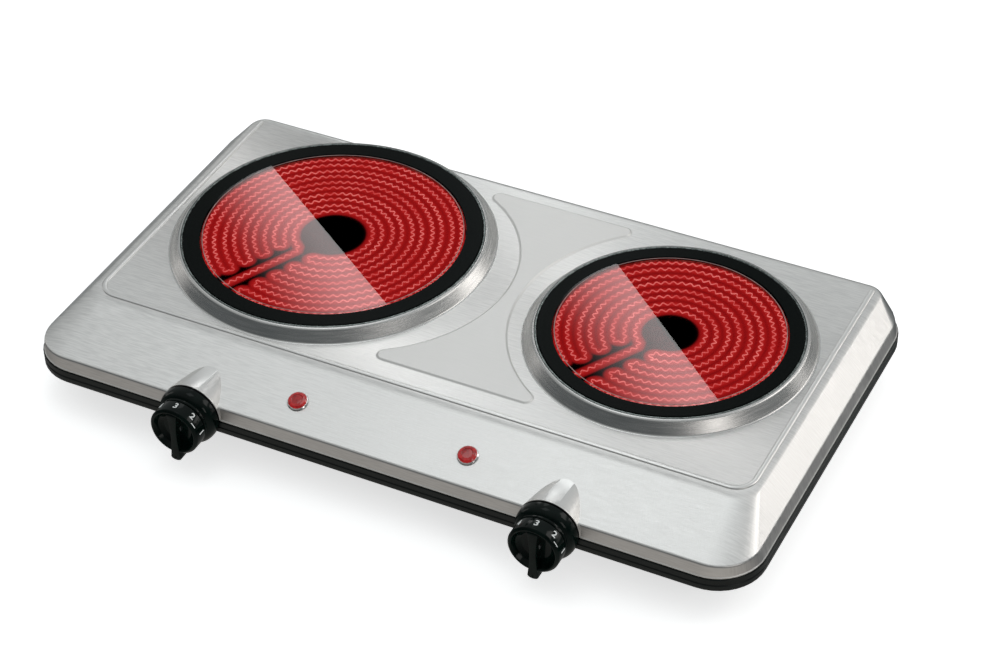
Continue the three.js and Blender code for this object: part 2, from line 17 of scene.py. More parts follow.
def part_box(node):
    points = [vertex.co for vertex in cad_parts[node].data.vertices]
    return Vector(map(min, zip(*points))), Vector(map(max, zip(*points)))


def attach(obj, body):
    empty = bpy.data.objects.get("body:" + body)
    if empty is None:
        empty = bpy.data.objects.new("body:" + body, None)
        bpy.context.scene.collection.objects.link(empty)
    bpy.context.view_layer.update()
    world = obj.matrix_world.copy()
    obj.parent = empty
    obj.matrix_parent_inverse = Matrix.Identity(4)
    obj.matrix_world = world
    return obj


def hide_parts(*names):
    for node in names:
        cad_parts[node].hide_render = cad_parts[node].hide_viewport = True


bl_info = {
    "name": "Double hot plate",
    "version": (1, 0, 0),
    "blender": (4, 5, 0),
    "location": "3D Viewport > Sidebar > Hot plate",
    "description": "Builds a double infrared hot plate round its frame",
    "category": "Add Mesh",
}

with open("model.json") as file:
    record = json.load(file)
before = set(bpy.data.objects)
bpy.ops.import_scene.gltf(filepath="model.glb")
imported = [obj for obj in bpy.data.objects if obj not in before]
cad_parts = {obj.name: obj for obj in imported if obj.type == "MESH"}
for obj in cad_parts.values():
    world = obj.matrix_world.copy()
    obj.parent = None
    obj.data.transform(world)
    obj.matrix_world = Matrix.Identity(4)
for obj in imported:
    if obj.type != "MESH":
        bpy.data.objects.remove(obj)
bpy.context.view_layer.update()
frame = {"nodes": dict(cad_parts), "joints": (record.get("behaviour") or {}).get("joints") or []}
NODES = frame["nodes"]

# ---- Sizes --------------------------------------------------------------

MM = 0.001
BODY = "hotplate"
SIDES = {"left": -1, "right": 1}
SHARP = 31                               # degrees between faces that meet in a crisp edge
FINE = 0.002 * MM                        # vertices closer than this are one
SUNK = 0.02 * MM                         # a raised shape starts this far under the deck's face

HOUSING_LOW, HOUSING_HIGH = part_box("top_housing")
HALF = HOUSING_HIGH.x
FRONT = HOUSING_LOW.y
BACK = HOUSING_HIGH.y
SKIRT_Z = HOUSING_LOW.z
FOLD_DROP = 14.7 * MM                    # from the deck down to the fold above the skirt
DECK_Z = SKIRT_Z + 23.4 * MM
FOLD_Z = DECK_Z - FOLD_DROP
PANEL_DEPTH = 49.5 * MM
SIDE_BEVEL = 17 * MM
BACK_BEVEL = 9.4 * MM
PANEL_FOOT = FRONT + 1.8 * MM
PANEL_TILT = atan2(FOLD_DROP, FRONT + PANEL_DEPTH - PANEL_FOOT)
SHEET = 0.8 * MM

PAN_LOW, PAN_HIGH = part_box("base_pan")
LIP_Z = SKIRT_Z - 9.5 * MM
LIP_OUT = PAN_HIGH.x - HALF
PAN_SHEET = 1.2 * MM

KNOBS = {j["name"].split("_")[-1]: Vector(j["pos_m"]) for j in frame["joints"]}
KNOB_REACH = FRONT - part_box("dial_left")[0].y
COLLAR_R = 20 * MM
DIAL_R = 17 * MM
COLLAR_FRONT = 11.5 * MM
DIAL_BACK = 11.9 * MM


def burner(size):
    """A burner's place, glass radius and glass top, from its glass plate."""
    low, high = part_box(f"glass_plate_{size}")
    return {"at": (low + high) / 2, "glass": (high.x - low.x) / 2, "top": high.z}


BURNERS = {
    "large": {**burner("large"), "rings": 10, "gap": radians(-116)},
    "small": {**burner("small"), "rings": 8, "gap": radians(-120)},
}
GLASS_TOP = BURNERS["large"]["top"]
GLOW_SHARE = 0.887                       # clear window, as a share of the glass's radius
FEED_HALF = 10.2 * MM                    # from the supply end's line to the turns beside it
RIBBON_PROUD = 0.6 * MM                  # the ribbon stands this far out of its board
WAVE_STEPS = 8                           # points in one wave of the ribbon
GLASS_TINT = (0.25, 0.06, 0.06, 1)       # what the glass lets through
GLOW_LAYER = "glow"                      # how near the ribbon a point of the board is
SHINE_LAYER = "shine"                    # how bright a studio card is at a point
RING_STEPS = 192                         # sides of the large circles round a burner


# ---- Settings that a user would change ----------------------------------


class HousingSettings(bpy.types.PropertyGroup):
    """The folds and the steel of the housing."""

    fold: FloatProperty(
        name="Panel fold", description="Round of the fold between the deck and its slopes",
        default=4 * MM, min=0.5 * MM, max=6 * MM, unit="LENGTH",
    )
    edge: FloatProperty(
        name="Skirt edge", description="Round of the crisp edge above the skirt",
        default=1.3 * MM, min=0.2 * MM, max=1.6 * MM, unit="LENGTH",
    )
    steel: FloatVectorProperty(
        name="Steel", description="Colour of the brushed sheet", subtype="COLOR",
        size=3, min=0, max=1, default=(0.725, 0.715, 0.70),
    )


class ElementSettings(bpy.types.PropertyGroup):
    """The corrugation and the heat of the ribbons."""

    pitch: FloatProperty(
        name="Corrugation", description="Length of one wave of the heating ribbon",
        default=5.4 * MM, min=2 * MM, max=8 * MM, unit="LENGTH",
    )
    swing: FloatProperty(
        name="Swing", description="How far a wave leaves the ribbon's line",
        default=1.2 * MM, min=0, max=1.5 * MM, unit="LENGTH",
    )
    heat: FloatProperty(
        name="Heat", description="Brightness of the element", default=0.93, min=0, max=4,
    )


class KnobSettings(bpy.types.PropertyGroup):
    """The numbers on the dials."""

    figure: FloatProperty(
        name="Figure height", description="Height of the numbers on the dial's side",
        default=4.4 * MM, min=2 * MM, max=6 * MM, unit="LENGTH",
    )
    step: FloatProperty(
        name="Step", description="Angle between two numbers",
        default=radians(42.5), min=radians(20), max=radians(60), subtype="ANGLE",
    )


class StageSettings(bpy.types.PropertyGroup):
    """The studio."""

    floor: FloatVectorProperty(
        name="Floor", description="Colour of the studio floor", subtype="COLOR",
        size=3, min=0, max=1, default=(0.93, 0.93, 0.93),
    )
    sky: FloatProperty(
        name="Surround", description="Brightness of the studio walls", default=0.9, min=0, max=4,
    )


# ---- Nodes and materials ------------------------------------------------


def linear(code):
    """An sRGB hex colour as linear RGBA."""
    parts = [int(code[i:i + 2], 16) / 255 for i in (0, 2, 4)]
    return [c / 12.92 if c <= 0.04045 else ((c + 0.055) / 1.055) ** 2.4 for c in parts] + [1]


def add(tree, kind, inputs=None, **settings):
    """A node with its settings. An input's value is a number, a colour or another node's output."""
    made = tree.nodes.new(kind)
    for name, value in settings.items():
        setattr(made, name, value)
    for name, value in (inputs or {}).items():
        if isinstance(value, bpy.types.NodeSocket):
            tree.links.new(value, made.inputs[name])
        else:
            made.inputs[name].default_value = value
    return made


def material(name, **shader):
    """A new material, its node tree and its Principled shader with constants set."""
    made = bpy.data.materials.new(name)
    made.use_nodes = True
    principled = made.node_tree.nodes["Principled BSDF"]
    for socket, value in shader.items():
        principled.inputs[socket.replace("_", " ")].default_value = value
    return made, made.node_tree, principled


def ramp(tree, factor, stops):
    """A colour ramp with the given (position, colour) stops."""
    made = add(tree, "ShaderNodeValToRGB", {"Fac": factor})
    ends = made.color_ramp.elements
    for position, _ in stops[2:]:
        ends.new(position)
    for element, (position, colour) in zip(ends, stops):
        element.position = position
        element.color = colour if len(colour) == 4 else (*colour, 1)
    return made


def coordinates(tree, centre=(0, 0, 0), scale=(1, 1, 1)):
    """Object coordinates, moved so that centre is the origin, then scaled."""
    source = add(tree, "ShaderNodeTexCoord").outputs["Object"]
    moved = add(tree, "ShaderNodeMapping", {"Vector": source, "Location": [-c for c in centre]})
    return add(tree, "ShaderNodeMapping", {"Vector": moved.outputs[0], "Scale": scale})


def calc(tree, operation, *values, clamp=False):
    """A math node's output."""
    made = tree.nodes.new("ShaderNodeMath")
    made.operation = operation
    made.use_clamp = clamp
    for socket, value in zip(made.inputs, values):
        if isinstance(value, bpy.types.NodeSocket):
            tree.links.new(value, socket)
        else:
            socket.default_value = value
    return made.outputs[0]


GRAIN_LONG = 1 / (10 * MM)               # a scratch of the brush is some 10 mm long
GRAIN_FINE = 1 / (0.8 * MM)              # and drawn 0.8 mm wide, coarser than real, so that it shows


def straight_grain(tree):
    """Scratches along X. On the front and the back skirt they are spaced in Z."""
    flat = coordinates(tree, scale=(GRAIN_LONG, GRAIN_FINE, GRAIN_LONG))
    upright = coordinates(tree, scale=(GRAIN_LONG, GRAIN_LONG, GRAIN_FINE))
    lying = add(tree, "ShaderNodeTexNoise", {"Vector": flat.outputs[0], "Scale": 1, "Detail": 3})
    standing = add(tree, "ShaderNodeTexNoise", {"Vector": upright.outputs[0], "Scale": 1, "Detail": 3})
    normal = add(tree, "ShaderNodeNewGeometry").outputs["Normal"]
    across = add(tree, "ShaderNodeSeparateXYZ", {"Vector": normal}).outputs["Y"]
    share = calc(tree, "POWER", calc(tree, "ABSOLUTE", across), 4)
    mixed = add(tree, "ShaderNodeMix", {
        "Factor": share, "A": lying.outputs[0], "B": standing.outputs[0],
    })
    return mixed.outputs[0]


def turned_grain(tree, centre):
    """Scratches round a burner's axis."""
    place = coordinates(tree, (centre.x, centre.y, 0)).outputs[0]
    parts = add(tree, "ShaderNodeSeparateXYZ", {"Vector": place})
    x, y = parts.outputs["X"], parts.outputs["Y"]
    radius = calc(tree, "SQRT", calc(tree, "ADD", calc(tree, "POWER", x, 2), calc(tree, "POWER", y, 2)))
    turn = 5                             # wide marks round the ring, about 20 mm long
    vector = add(tree, "ShaderNodeCombineXYZ", {
        "X": calc(tree, "MULTIPLY", calc(tree, "DIVIDE", x, radius), turn),
        "Y": calc(tree, "MULTIPLY", calc(tree, "DIVIDE", y, radius), turn),
        "Z": calc(tree, "MULTIPLY", radius, GRAIN_FINE),
    })
    noise = add(tree, "ShaderNodeTexNoise", {"Vector": vector.outputs[0], "Scale": 1, "Detail": 3})
    return noise.outputs[0]


def along_x(tree):
    """The way of a straight brush."""
    return add(tree, "ShaderNodeCombineXYZ", {"X": 1, "Y": 0, "Z": 0}).outputs[0]


def along_y(tree):
    """The way of a brush drawn along a boss."""
    return add(tree, "ShaderNodeCombineXYZ", {"X": 0, "Y": 1, "Z": 0}).outputs[0]


def around(tree, centre):
    """The way of a brush held against a turning ring."""
    place = coordinates(tree, (centre.x, centre.y, 0)).outputs[0]
    parts = add(tree, "ShaderNodeSeparateXYZ", {"Vector": place})
    back = calc(tree, "MULTIPLY", parts.outputs["Y"], -1)
    return add(tree, "ShaderNodeCombineXYZ", {"X": back, "Y": parts.outputs["X"], "Z": 0}).outputs[0]


def brushed_steel(name, grain_of, way_of, rough=(0.28, 0.40), depth=0.02 * MM, spread=0.8, light=1):
    """Stainless sheet, brushed: fine grey scratches that widen the highlight across them.

    light scales the plain sheet's colour on that part of the pressing; the rings' darker steel is a painted
    shade, and the lighter steel of the bosses, the bead and the hem a painted highlight.
    """
    made, tree, shader = material(name, Metallic=1, Anisotropic=spread)
    tree.links.new(way_of(tree), shader.inputs["Tangent"])
    grain = grain_of(tree)
    cloud = add(tree, "ShaderNodeTexNoise", {
        "Vector": coordinates(tree).outputs[0], "Scale": 1 / (90 * MM), "Detail": 2,
    }).outputs[0]
    base = Vector(bpy.context.scene.hotplate_housing.steel) * light
    deep = 0.14 * min(1, depth / (0.02 * MM))    # shallow scratches differ less in colour too
    dark, pale = base * (1 - deep), base * (1 + deep * 0.7)
    tint = ramp(tree, grain, [(0.32, tuple(dark)), (0.68, tuple(pale))])
    shade = add(tree, "ShaderNodeMix", {
        "Factor": 0.25, "A": tint.outputs[0],
        "B": ramp(tree, cloud, [(0.35, tuple(base * 0.94)), (0.65, tuple(base * 1.04))]).outputs[0],
    }, data_type="RGBA")
    tree.links.new(shade.outputs["Result"], shader.inputs["Base Color"])
    roughness = add(tree, "ShaderNodeMapRange", {
        "Value": grain, "From Min": 0.3, "From Max": 0.7, "To Min": rough[0], "To Max": rough[1],
    })
    tree.links.new(roughness.outputs[0], shader.inputs["Roughness"])
    bump = add(tree, "ShaderNodeBump", {"Height": grain, "Strength": 0.5, "Distance": depth})
    tree.links.new(bump.outputs[0], shader.inputs["Normal"])
    return made


def speckled(name, dark, light, grain, rough, depth, **shader_values):
    """A surface with a fine grain: two close colours, changing roughness and a shallow bump."""
    made, tree, shader = material(name, **shader_values)
    noise = add(tree, "ShaderNodeTexNoise", {
        "Vector": coordinates(tree).outputs[0], "Scale": 1 / grain, "Detail": 3,
    }).outputs[0]
    tint = ramp(tree, noise, [(0.35, linear(dark)), (0.65, linear(light))])
    tree.links.new(tint.outputs[0], shader.inputs["Base Color"])
    roughness = add(tree, "ShaderNodeMapRange", {
        "Value": noise, "From Min": 0.3, "From Max": 0.7, "To Min": rough[0], "To Max": rough[1],
    })
    tree.links.new(roughness.outputs[0], shader.inputs["Roughness"])
    bump = add(tree, "ShaderNodeBump", {"Height": noise, "Strength": 0.4, "Distance": depth})
    tree.links.new(bump.outputs[0], shader.inputs["Normal"])
    return made


def pan_enamel():
    """Stove enamel on pressed steel: near black, half gloss, with a slight orange peel."""
    return speckled(
        "stove_enamel", "060c0b", "0b1211", 3 * MM, (0.28, 0.4), 0.05 * MM, Specular_IOR_Level=0.25,
    )


def thermoset():
    """Moulded thermoset of the knobs: greenish black, polished by its mould."""
    return speckled(
        "moulded_thermoset", "020a08", "06120f", 6 * MM, (0.09, 0.14), 0.01 * MM,
        IOR=1.5, Specular_IOR_Level=0.14,
    )


def figure_ink():
    """Pad-printed white ink: flat, with soft edges of its own thickness."""
    return speckled("pad_printed_ink", "e4e8e6", "f6f8f7", 1 * MM, (0.5, 0.6), 0.01 * MM)


def zinc_plate():
    """Zinc-plated steel: bluish grey crystals in a low sheen."""
    return speckled("zinc_plated_steel", "9ba2a6", "c2c7c8", 2.5 * MM, (0.32, 0.5), 0.01 * MM, Metallic=1)


def slot_shaded_trim():
    """Rolled steel ring between glass and housing: coloured dark, a painted shade for the slot it stands
    in.
    """
    return speckled("rolled_steel_painted_shade", "5f6664", "8b9290", 4 * MM, (0.22, 0.32), 0.01 * MM, Metallic=1)


def fired_ceramic():
    """Unglazed steatite: chalky cream, faintly grained."""
    return speckled("steatite", "d8d3c6", "ebe7dc", 1.2 * MM, (0.55, 0.7), 0.05 * MM)


def white_nylon():
    """Moulded nylon of the regulators: milky with a soft sheen."""
    return speckled(
        "moulded_nylon", "d6d4cb", "e6e4dc", 8 * MM, (0.4, 0.5), 0.02 * MM, Subsurface_Weight=0.1,
    )


def sleeve():
    """Woven glass-fibre sleeving over the leads: cream, with a diagonal braid."""
    made, tree, shader = material("glass_fibre_sleeving", Roughness=0.8)
    place = coordinates(tree).outputs[0]
    braid = add(tree, "ShaderNodeTexWave", {
        "Vector": place, "Scale": 0.5 / (0.9 * MM), "Distortion": 1.5,
    }, bands_direction="DIAGONAL")
    tint = ramp(tree, braid.outputs[0], [(0.2, linear("a99f86")), (0.8, linear("d8d1bd"))])
    tree.links.new(tint.outputs[0], shader.inputs["Base Color"])
    bump = add(tree, "ShaderNodeBump", {"Height": braid.outputs[0], "Strength": 0.5, "Distance": 0.1 * MM})
    tree.links.new(bump.outputs[0], shader.inputs["Normal"])
    return made


def moulded_rubber():
    """Moulded rubber: matt black with a dusty grain."""
    return speckled("moulded_rubber", "121413", "1d201f", 0.8 * MM, (0.75, 0.92), 0.05 * MM)


def chromed_bezel():
    """Bright plated rim of the pilot lamps."""
    return speckled("bright_plate", "d8d6d4", "efedeb", 3 * MM, (0.12, 0.2), 0.005 * MM, Metallic=1)


def lamp_red(name, glow_strength):
    """Transparent red moulding: its cut facets glow, its sunk table is deeper in colour."""
    made, tree, shader = material(
        name, Roughness=0.12, IOR=1.49, Coat_Weight=0.3, Emission_Strength=glow_strength,
    )
    glow = add(tree, "ShaderNodeTexNoise", {
        "Vector": coordinates(tree).outputs[0], "Scale": 1 / (2.5 * MM), "Detail": 2,
    })
    tint = ramp(tree, glow.outputs[0], [(0.3, linear("8c0f12")), (0.7, linear("c02426"))])
    tree.links.new(tint.outputs[0], shader.inputs["Base Color"])
    tree.links.new(tint.outputs[0], shader.inputs["Emission Color"])
    return made


def ceramic_glass():
    """Dark glass-ceramic window: polished, and it lets little but red through."""
    made, tree, shader = material(
        "glass_ceramic", IOR=1.52, Transmission_Weight=1, Roughness=0, Specular_IOR_Level=0.5,
    )
    cloud = add(tree, "ShaderNodeTexNoise", {
        "Vector": coordinates(tree).outputs[0], "Scale": 1 / (60 * MM), "Detail": 1,
    })
    tint = ramp(tree, cloud.outputs[0], [(0.3, GLASS_TINT), (0.7, [c * 1.03 for c in GLASS_TINT[:3]])])
    tree.links.new(tint.outputs[0], shader.inputs["Base Color"])
    return made


def glass_print():
    """Black ceramic colour fired on the glass's border: a satin black, faintly stippled."""
    return speckled(
        "fired_black_border", "050a09", "0a100f", 1.5 * MM, (0.3, 0.36), 0.01 * MM,
        Specular_IOR_Level=0.04,
    )


def ground_line():
    """The fine ring ground into the glass at its heated field: frosted, so it stays pale."""
    return speckled("ground_glass_line", "9c7472", "c09c98", 6 * MM, (0.25, 0.4), 0.005 * MM)


def seen_through_glass(colour):
    """A glow's colour behind the glass, so that it leaves the glass as the one given."""
    return [c / t for c, t in zip(colour[:3], GLASS_TINT)] + [1]


def glowing_ribbon():
    """Resistance alloy at full heat: an even coral glow, a little hotter in places."""
    made, tree, shader = material("glowing_alloy", Roughness=0.6)
    heat = bpy.context.scene.hotplate_element.heat
    patch = add(tree, "ShaderNodeTexNoise", {
        "Vector": coordinates(tree).outputs[0], "Scale": 1 / (14 * MM), "Detail": 1,
    })
    cool, hot = (seen_through_glass(linear(code)) for code in ("d04a4a", "f07a76"))
    tint = ramp(tree, patch.outputs[0], [(0.3, cool), (0.7, hot)])
    tree.links.new(tint.outputs[0], shader.inputs["Emission Color"])
    shader.inputs["Base Color"].default_value = linear("6a3a34")
    shader.inputs["Emission Strength"].default_value = heat
    made.cycles.emission_sampling = "NONE"
    return made


def lit_fibre():
    """Ceramic fibre board, lit by the ribbon on it: bright red beside it, black away from it."""
    made, tree, shader = material("ceramic_fibre_lit", Roughness=0.95, Specular_IOR_Level=0)
    heat = bpy.context.scene.hotplate_element.heat
    near = add(tree, "ShaderNodeAttribute", attribute_name=GLOW_LAYER).outputs["Fac"]
    stops = [
        (0.0, (0, 0, 0)), (0.1, linear("1c0303")), (0.3, linear("7a0d0f")), (0.5, linear("961315")),
        (0.75, linear("a81818")), (1.0, linear("c42c2a")),
    ]
    shine = ramp(tree, near, [(p, seen_through_glass(c)) for p, c in stops])
    fibre = add(tree, "ShaderNodeTexNoise", {
        "Vector": coordinates(tree).outputs[0], "Scale": 1 / (1.5 * MM), "Detail": 3,
    })
    # The board's own colour is near black: a painted shade for the dark inside the burner, as the same
    # fibre in the wall is pale.
    tint = ramp(tree, fibre.outputs[0], [(0.3, linear("060505")), (0.7, linear("0a0909"))])
    tree.links.new(tint.outputs[0], shader.inputs["Base Color"])
    tree.links.new(shine.outputs[0], shader.inputs["Emission Color"])
    shader.inputs["Emission Strength"].default_value = heat
    made.cycles.emission_sampling = "NONE"
    return made


def plain_fibre():
    """Pressed ceramic fibre: matt off-white felt."""
    return speckled("ceramic_fibre", "b9b4a8", "dcd8cc", 1.5 * MM, (0.9, 0.98), 0.2 * MM)


# ---- Shaping helpers ----------------------------------------------------


def outline(half, front, back, front_radius, back_radius, z):
    """The points of a rectangle whose corners are rounded, all in one plane."""
    shape = bmesh.new()
    bmesh.ops.create_grid(shape, x_segments=1, y_segments=1, size=1)
    bmesh.ops.scale(shape, vec=(half, (back - front) / 2, 1), verts=shape.verts)
    bmesh.ops.translate(shape, vec=(0, (back + front) / 2, z), verts=shape.verts)
    middle = (back + front) / 2
    for radius, is_front in ((front_radius, True), (back_radius, False)):
        corners = [v for v in shape.verts if (v.co.y < middle) == is_front]
        bmesh.ops.bevel(
            shape, geom=corners, offset=radius, offset_type="OFFSET", segments=10, profile=0.5,
            affect="VERTICES", clamp_overlap=False, material=-1,
        )
    shape.faces.ensure_lookup_table()
    shape.normal_update()
    points = [v.co.copy() for v in shape.faces[0].verts]
    if shape.faces[0].normal.z < 0:
        points.reverse()
    shape.free()
    start = min(range(len(points)), key=lambda i: (round(points[i].x, 6), points[i].y))
    return points[start:] + points[:start]


def ring_of(bm, points):
    """A closed chain of edges through the points."""
    verts = [bm.verts.new(p) for p in points]
    return [bm.edges.new(pair) for pair in zip(verts, verts[1:] + verts[:1])]


def stacked(outlines):
    """A closed solid whose wall runs through the outlines in turn, point to matching point.

    Its faces are set one by one, because bridge_loops turns a strip over between two level outlines.
    """
    bm = bmesh.new()
    rings = [[bm.verts.new(p) for p in points] for points in outlines]
    for low, high in zip(rings, rings[1:]):
        for i in range(len(low)):
            bm.faces.new((low[i - 1], low[i], high[i], high[i - 1]))
    bm.faces.new(rings[0])
    bm.faces.new(rings[-1])
    bmesh.ops.recalc_face_normals(bm, faces=bm.faces)
    return bm


def eased(before, corner, after, reach, steps):
    """Outlines that round a fold: they leave the middle one's sides at that reach from it."""
    rings = []
    for i in range(steps + 1):
        t = i / steps
        ring = []
        for a, c, b in zip(before, corner, after):
            start, end = c + (a - c).normalized() * reach, c + (b - c).normalized() * reach
            ring.append(start.lerp(c, t).lerp(c.lerp(end, t), t))
        rings.append(ring)
    return rings


def soften(bm, width, segments=3, above=SHARP, where=lambda edge: True):
    """Round every edge that is sharper than the given angle and passes the test."""
    edges = [
        e for e in bm.edges
        if len(e.link_faces) == 2 and degrees(e.calc_face_angle()) > above and where(e)
    ]
    bmesh.ops.bevel(
        bm, geom=edges, offset=width, offset_type="OFFSET", segments=segments, profile=0.5,
        affect="EDGES", clamp_overlap=True, material=-1,
    )


def turned(profile, steps=64, axis=(0, 0)):
    """A solid of revolution round a line along Z. The profile is (radius, height) pairs."""
    bm = bmesh.new()
    verts = [bm.verts.new((axis[0] + r, axis[1], z)) for r, z in profile]
    pairs = list(zip(verts, verts[1:]))
    if profile[0][0] > 0:
        pairs.append((verts[-1], verts[0]))
    edges = [bm.edges.new(pair) for pair in pairs]
    bmesh.ops.spin(
        bm, geom=verts + edges, cent=(*axis, 0), axis=(0, 0, 1), dvec=(0, 0, 0),
        angle=2 * pi, steps=steps, use_merge=True,
    )
    bmesh.ops.remove_doubles(bm, verts=bm.verts, dist=FINE)
    bmesh.ops.recalc_face_normals(bm, faces=bm.faces)
    return bm


def block(low, high):
    """A box between two corners."""
    bm = bmesh.new()
    bmesh.ops.create_cube(bm, size=1)
    bmesh.ops.scale(bm, vec=[b - a for a, b in zip(low, high)], verts=bm.verts)
    bmesh.ops.translate(bm, vec=[(a + b) / 2 for a, b in zip(low, high)], verts=bm.verts)
    return bm


def verts_in(geom):
    """The vertices among what an operator returned."""
    return [g for g in geom if isinstance(g, bmesh.types.BMVert)]


def edges_in(geom):
    """The edges among what an operator returned."""
    return [g for g in geom if isinstance(g, bmesh.types.BMEdge)]


def from_axis(spot, at):
    """How far a point is from an upright line."""
    return hypot(spot.x - at.x, spot.y - at.y)


def standing_at(low, high):
    """To the middle of a box's underside."""
    return Matrix.Translation(((low.x + high.x) / 2, (low.y + high.y) / 2, low.z))


def placed(bm, matrix):
    """Move a mesh to its place, and return it."""
    bmesh.ops.transform(bm, matrix=matrix, verts=bm.verts)
    return bm


def painted(bm, index):
    """Give every face the material of that number."""
    for face in bm.faces:
        face.material_index = index
    return bm


def arc(centre, radius, start, end, steps):
    """Points along an arc, from one angle to another, in radians."""
    turns = [start + (end - start) * i / steps for i in range(steps + 1)]
    return [Vector((centre[0] + radius * cos(a), centre[1] + radius * sin(a))) for a in turns]


def object_of(name, bm):
    """A new object in the scene that takes the mesh over."""
    mesh = bpy.data.meshes.new(name)
    bm.to_mesh(mesh)
    bm.free()
    made = bpy.data.objects.new(name, mesh)
    bpy.context.scene.collection.objects.link(made)
    return made


def carved(bm, tools, operation):
    """The solid after each tool is joined to it or cut from it."""
    work = object_of("work", bm)
    helpers = []
    for tool in tools:
        helper = object_of("tool", tool)
        modifier = work.modifiers.new("carve", "BOOLEAN")
        modifier.operation = operation
        modifier.solver = "EXACT"
        modifier.object = helper
        helpers.append(helper)
    evaluated = work.evaluated_get(bpy.context.evaluated_depsgraph_get())
    result = bmesh.new()
    result.from_mesh(evaluated.to_mesh())
    evaluated.to_mesh_clear()
    for spent in [work, *helpers]:
        mesh = spent.data
        bpy.data.objects.remove(spent)
        bpy.data.meshes.remove(mesh)
    bmesh.ops.remove_doubles(result, verts=result.verts, dist=FINE)
    return result


def finish_piece(name, bm, materials, replaces=(), body=BODY, sharp=SHARP):
    """Make a mesh a named piece that rides on a body and stands for its CAD nodes."""
    for face in bm.faces:
        face.smooth = True
    for edge in bm.edges:
        edge.smooth = len(edge.link_faces) == 2 and degrees(edge.calc_face_angle()) < sharp
    piece = object_of(name, bm)
    for finish in materials:
        piece.data.materials.append(finish)
    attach(piece, body)
    if replaces:
        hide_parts(*replaces)
    return piece


def pressed_sheet(piece, thickness):
    """Give a pressing its sheet's thickness, inwards, and then even shading across its folds."""
    wall = piece.modifiers.new("sheet", "SOLIDIFY")
    wall.thickness = thickness
    wall.offset = -1
    shading = piece.modifiers.new("even_shading", "WEIGHTED_NORMAL")
    shading.keep_sharp = True
    shading.weight = 100


# ---- Top housing --------------------------------------------------------

SKIRT = {"half": HALF, "front": FRONT, "back": BACK, "front_radius": 31 * MM, "back_radius": 30 * MM}
FOLD = {
    "half": HALF - 2.5 * MM, "front": PANEL_FOOT, "back": BACK - 1.6 * MM,
    "front_radius": 26 * MM, "back_radius": 28 * MM,
}
DECK = {
    "half": HALF - SIDE_BEVEL, "front": FRONT + PANEL_DEPTH, "back": BACK - BACK_BEVEL,
    "front_radius": 14 * MM, "back_radius": 8 * MM,
}


def grown(edge, by):
    """The same outline, wider by that much all round."""
    return {
        "half": edge["half"] + by, "front": edge["front"] - by, "back": edge["back"] + by,
        "front_radius": edge["front_radius"] + by, "back_radius": edge["back_radius"] + by,
    }


def housing_shell(fold, edge):
    """The plain pressing: hem, skirt, slopes and deck, with rounded folds."""
    flat = 7 * MM
    hem, turn_in = 0.5 * MM, 0.45 * MM
    lower = [outline(**SKIRT, z=SKIRT_Z), outline(**SKIRT, z=SKIRT_Z + hem)]
    skirt, crease = outline(**grown(SKIRT, -turn_in), z=SKIRT_Z + 2 * hem), outline(**FOLD, z=FOLD_Z)
    deck, inner = outline(**DECK, z=DECK_Z), outline(**grown(DECK, -flat), z=DECK_Z)
    above_skirt, above_panel = eased(skirt, crease, deck, edge, 4), eased(crease, deck, inner, fold, 8)
    shell = stacked([*lower, skirt, *above_skirt, *above_panel, inner])
    # The hem's faces take material 5, the lighter steel that paints a highlight line along the skirt's
    # lower edge.
    for face in shell.faces:
        if all(hem * 0.9 < v.co.z - SKIRT_Z < hem * 2.1 for v in face.verts):
            face.material_index = 5
    return shell


def ring_rise(size):
    """The cone that lifts the deck to the rim of a glass, as a solid."""
    place = BURNERS[size]
    glass, top = place["glass"], place["top"]
    under = DECK_Z - 3 * MM
    foot, shoulder, rim = glass + 8.6 * MM, glass + 3.4 * MM, glass + 2.2 * MM
    rim_top = top - 0.3 * MM
    rise = turned([
        (0, under), (foot + 1.7 * MM, under), (foot + 1.7 * MM, DECK_Z - SUNK),
        (foot + 1 * MM, DECK_Z + 0.08 * MM), (foot + 0.4 * MM, DECK_Z + 0.35 * MM),
        (foot - 0.1 * MM, DECK_Z + 0.8 * MM), (shoulder, top - 0.9 * MM), (rim, rim_top), (0, rim_top),
    ], RING_STEPS, place["at"][:2])
    soften(rise, 0.5 * MM, 3, 25, lambda e: all(v.co.z > top - 2 * MM for v in e.verts))
    return rise


def field_outline():
    """The flat field between the burners: two hollow arcs, closed by round tips."""
    tip = 6 * MM
    back, front = BACK - 20.4 * MM, FRONT + 70 * MM
    left = {"at": (-86.9 * MM, 33.4 * MM), "r": 100.2 * MM, "side": 1}
    right = {"at": (132.3 * MM, 41.5 * MM), "r": 107.3 * MM, "side": -1}

    def tip_of(side_arc, line, inward):
        cx, cy = side_arc["at"]
        y = line + inward * tip
        x = cx + side_arc["side"] * sqrt((side_arc["r"] + tip) ** 2 - (y - cy) ** 2)
        return (x, y), atan2(y - cy, x - cx)

    (back_left, a1), (back_right, a2) = tip_of(left, back, -1), tip_of(right, back, -1)
    (front_right, a3), (front_left, a4) = tip_of(right, front, 1), tip_of(left, front, 1)
    return (
        arc(back_left, tip, a1 + pi, pi / 2, 10)[:-1] + arc(back_right, tip, pi / 2, a2 - pi, 10)[:-1]
        + arc(right["at"], right["r"], a2, a3 + 2 * pi, 40)[:-1]
        + arc(front_right, tip, a3 + pi, -pi / 2, 10)[:-1] + arc(front_left, tip, -pi / 2, a4 - pi, 10)[:-1]
        + arc(left["at"], left["r"], a4, a1, 40)[:-1]
    )


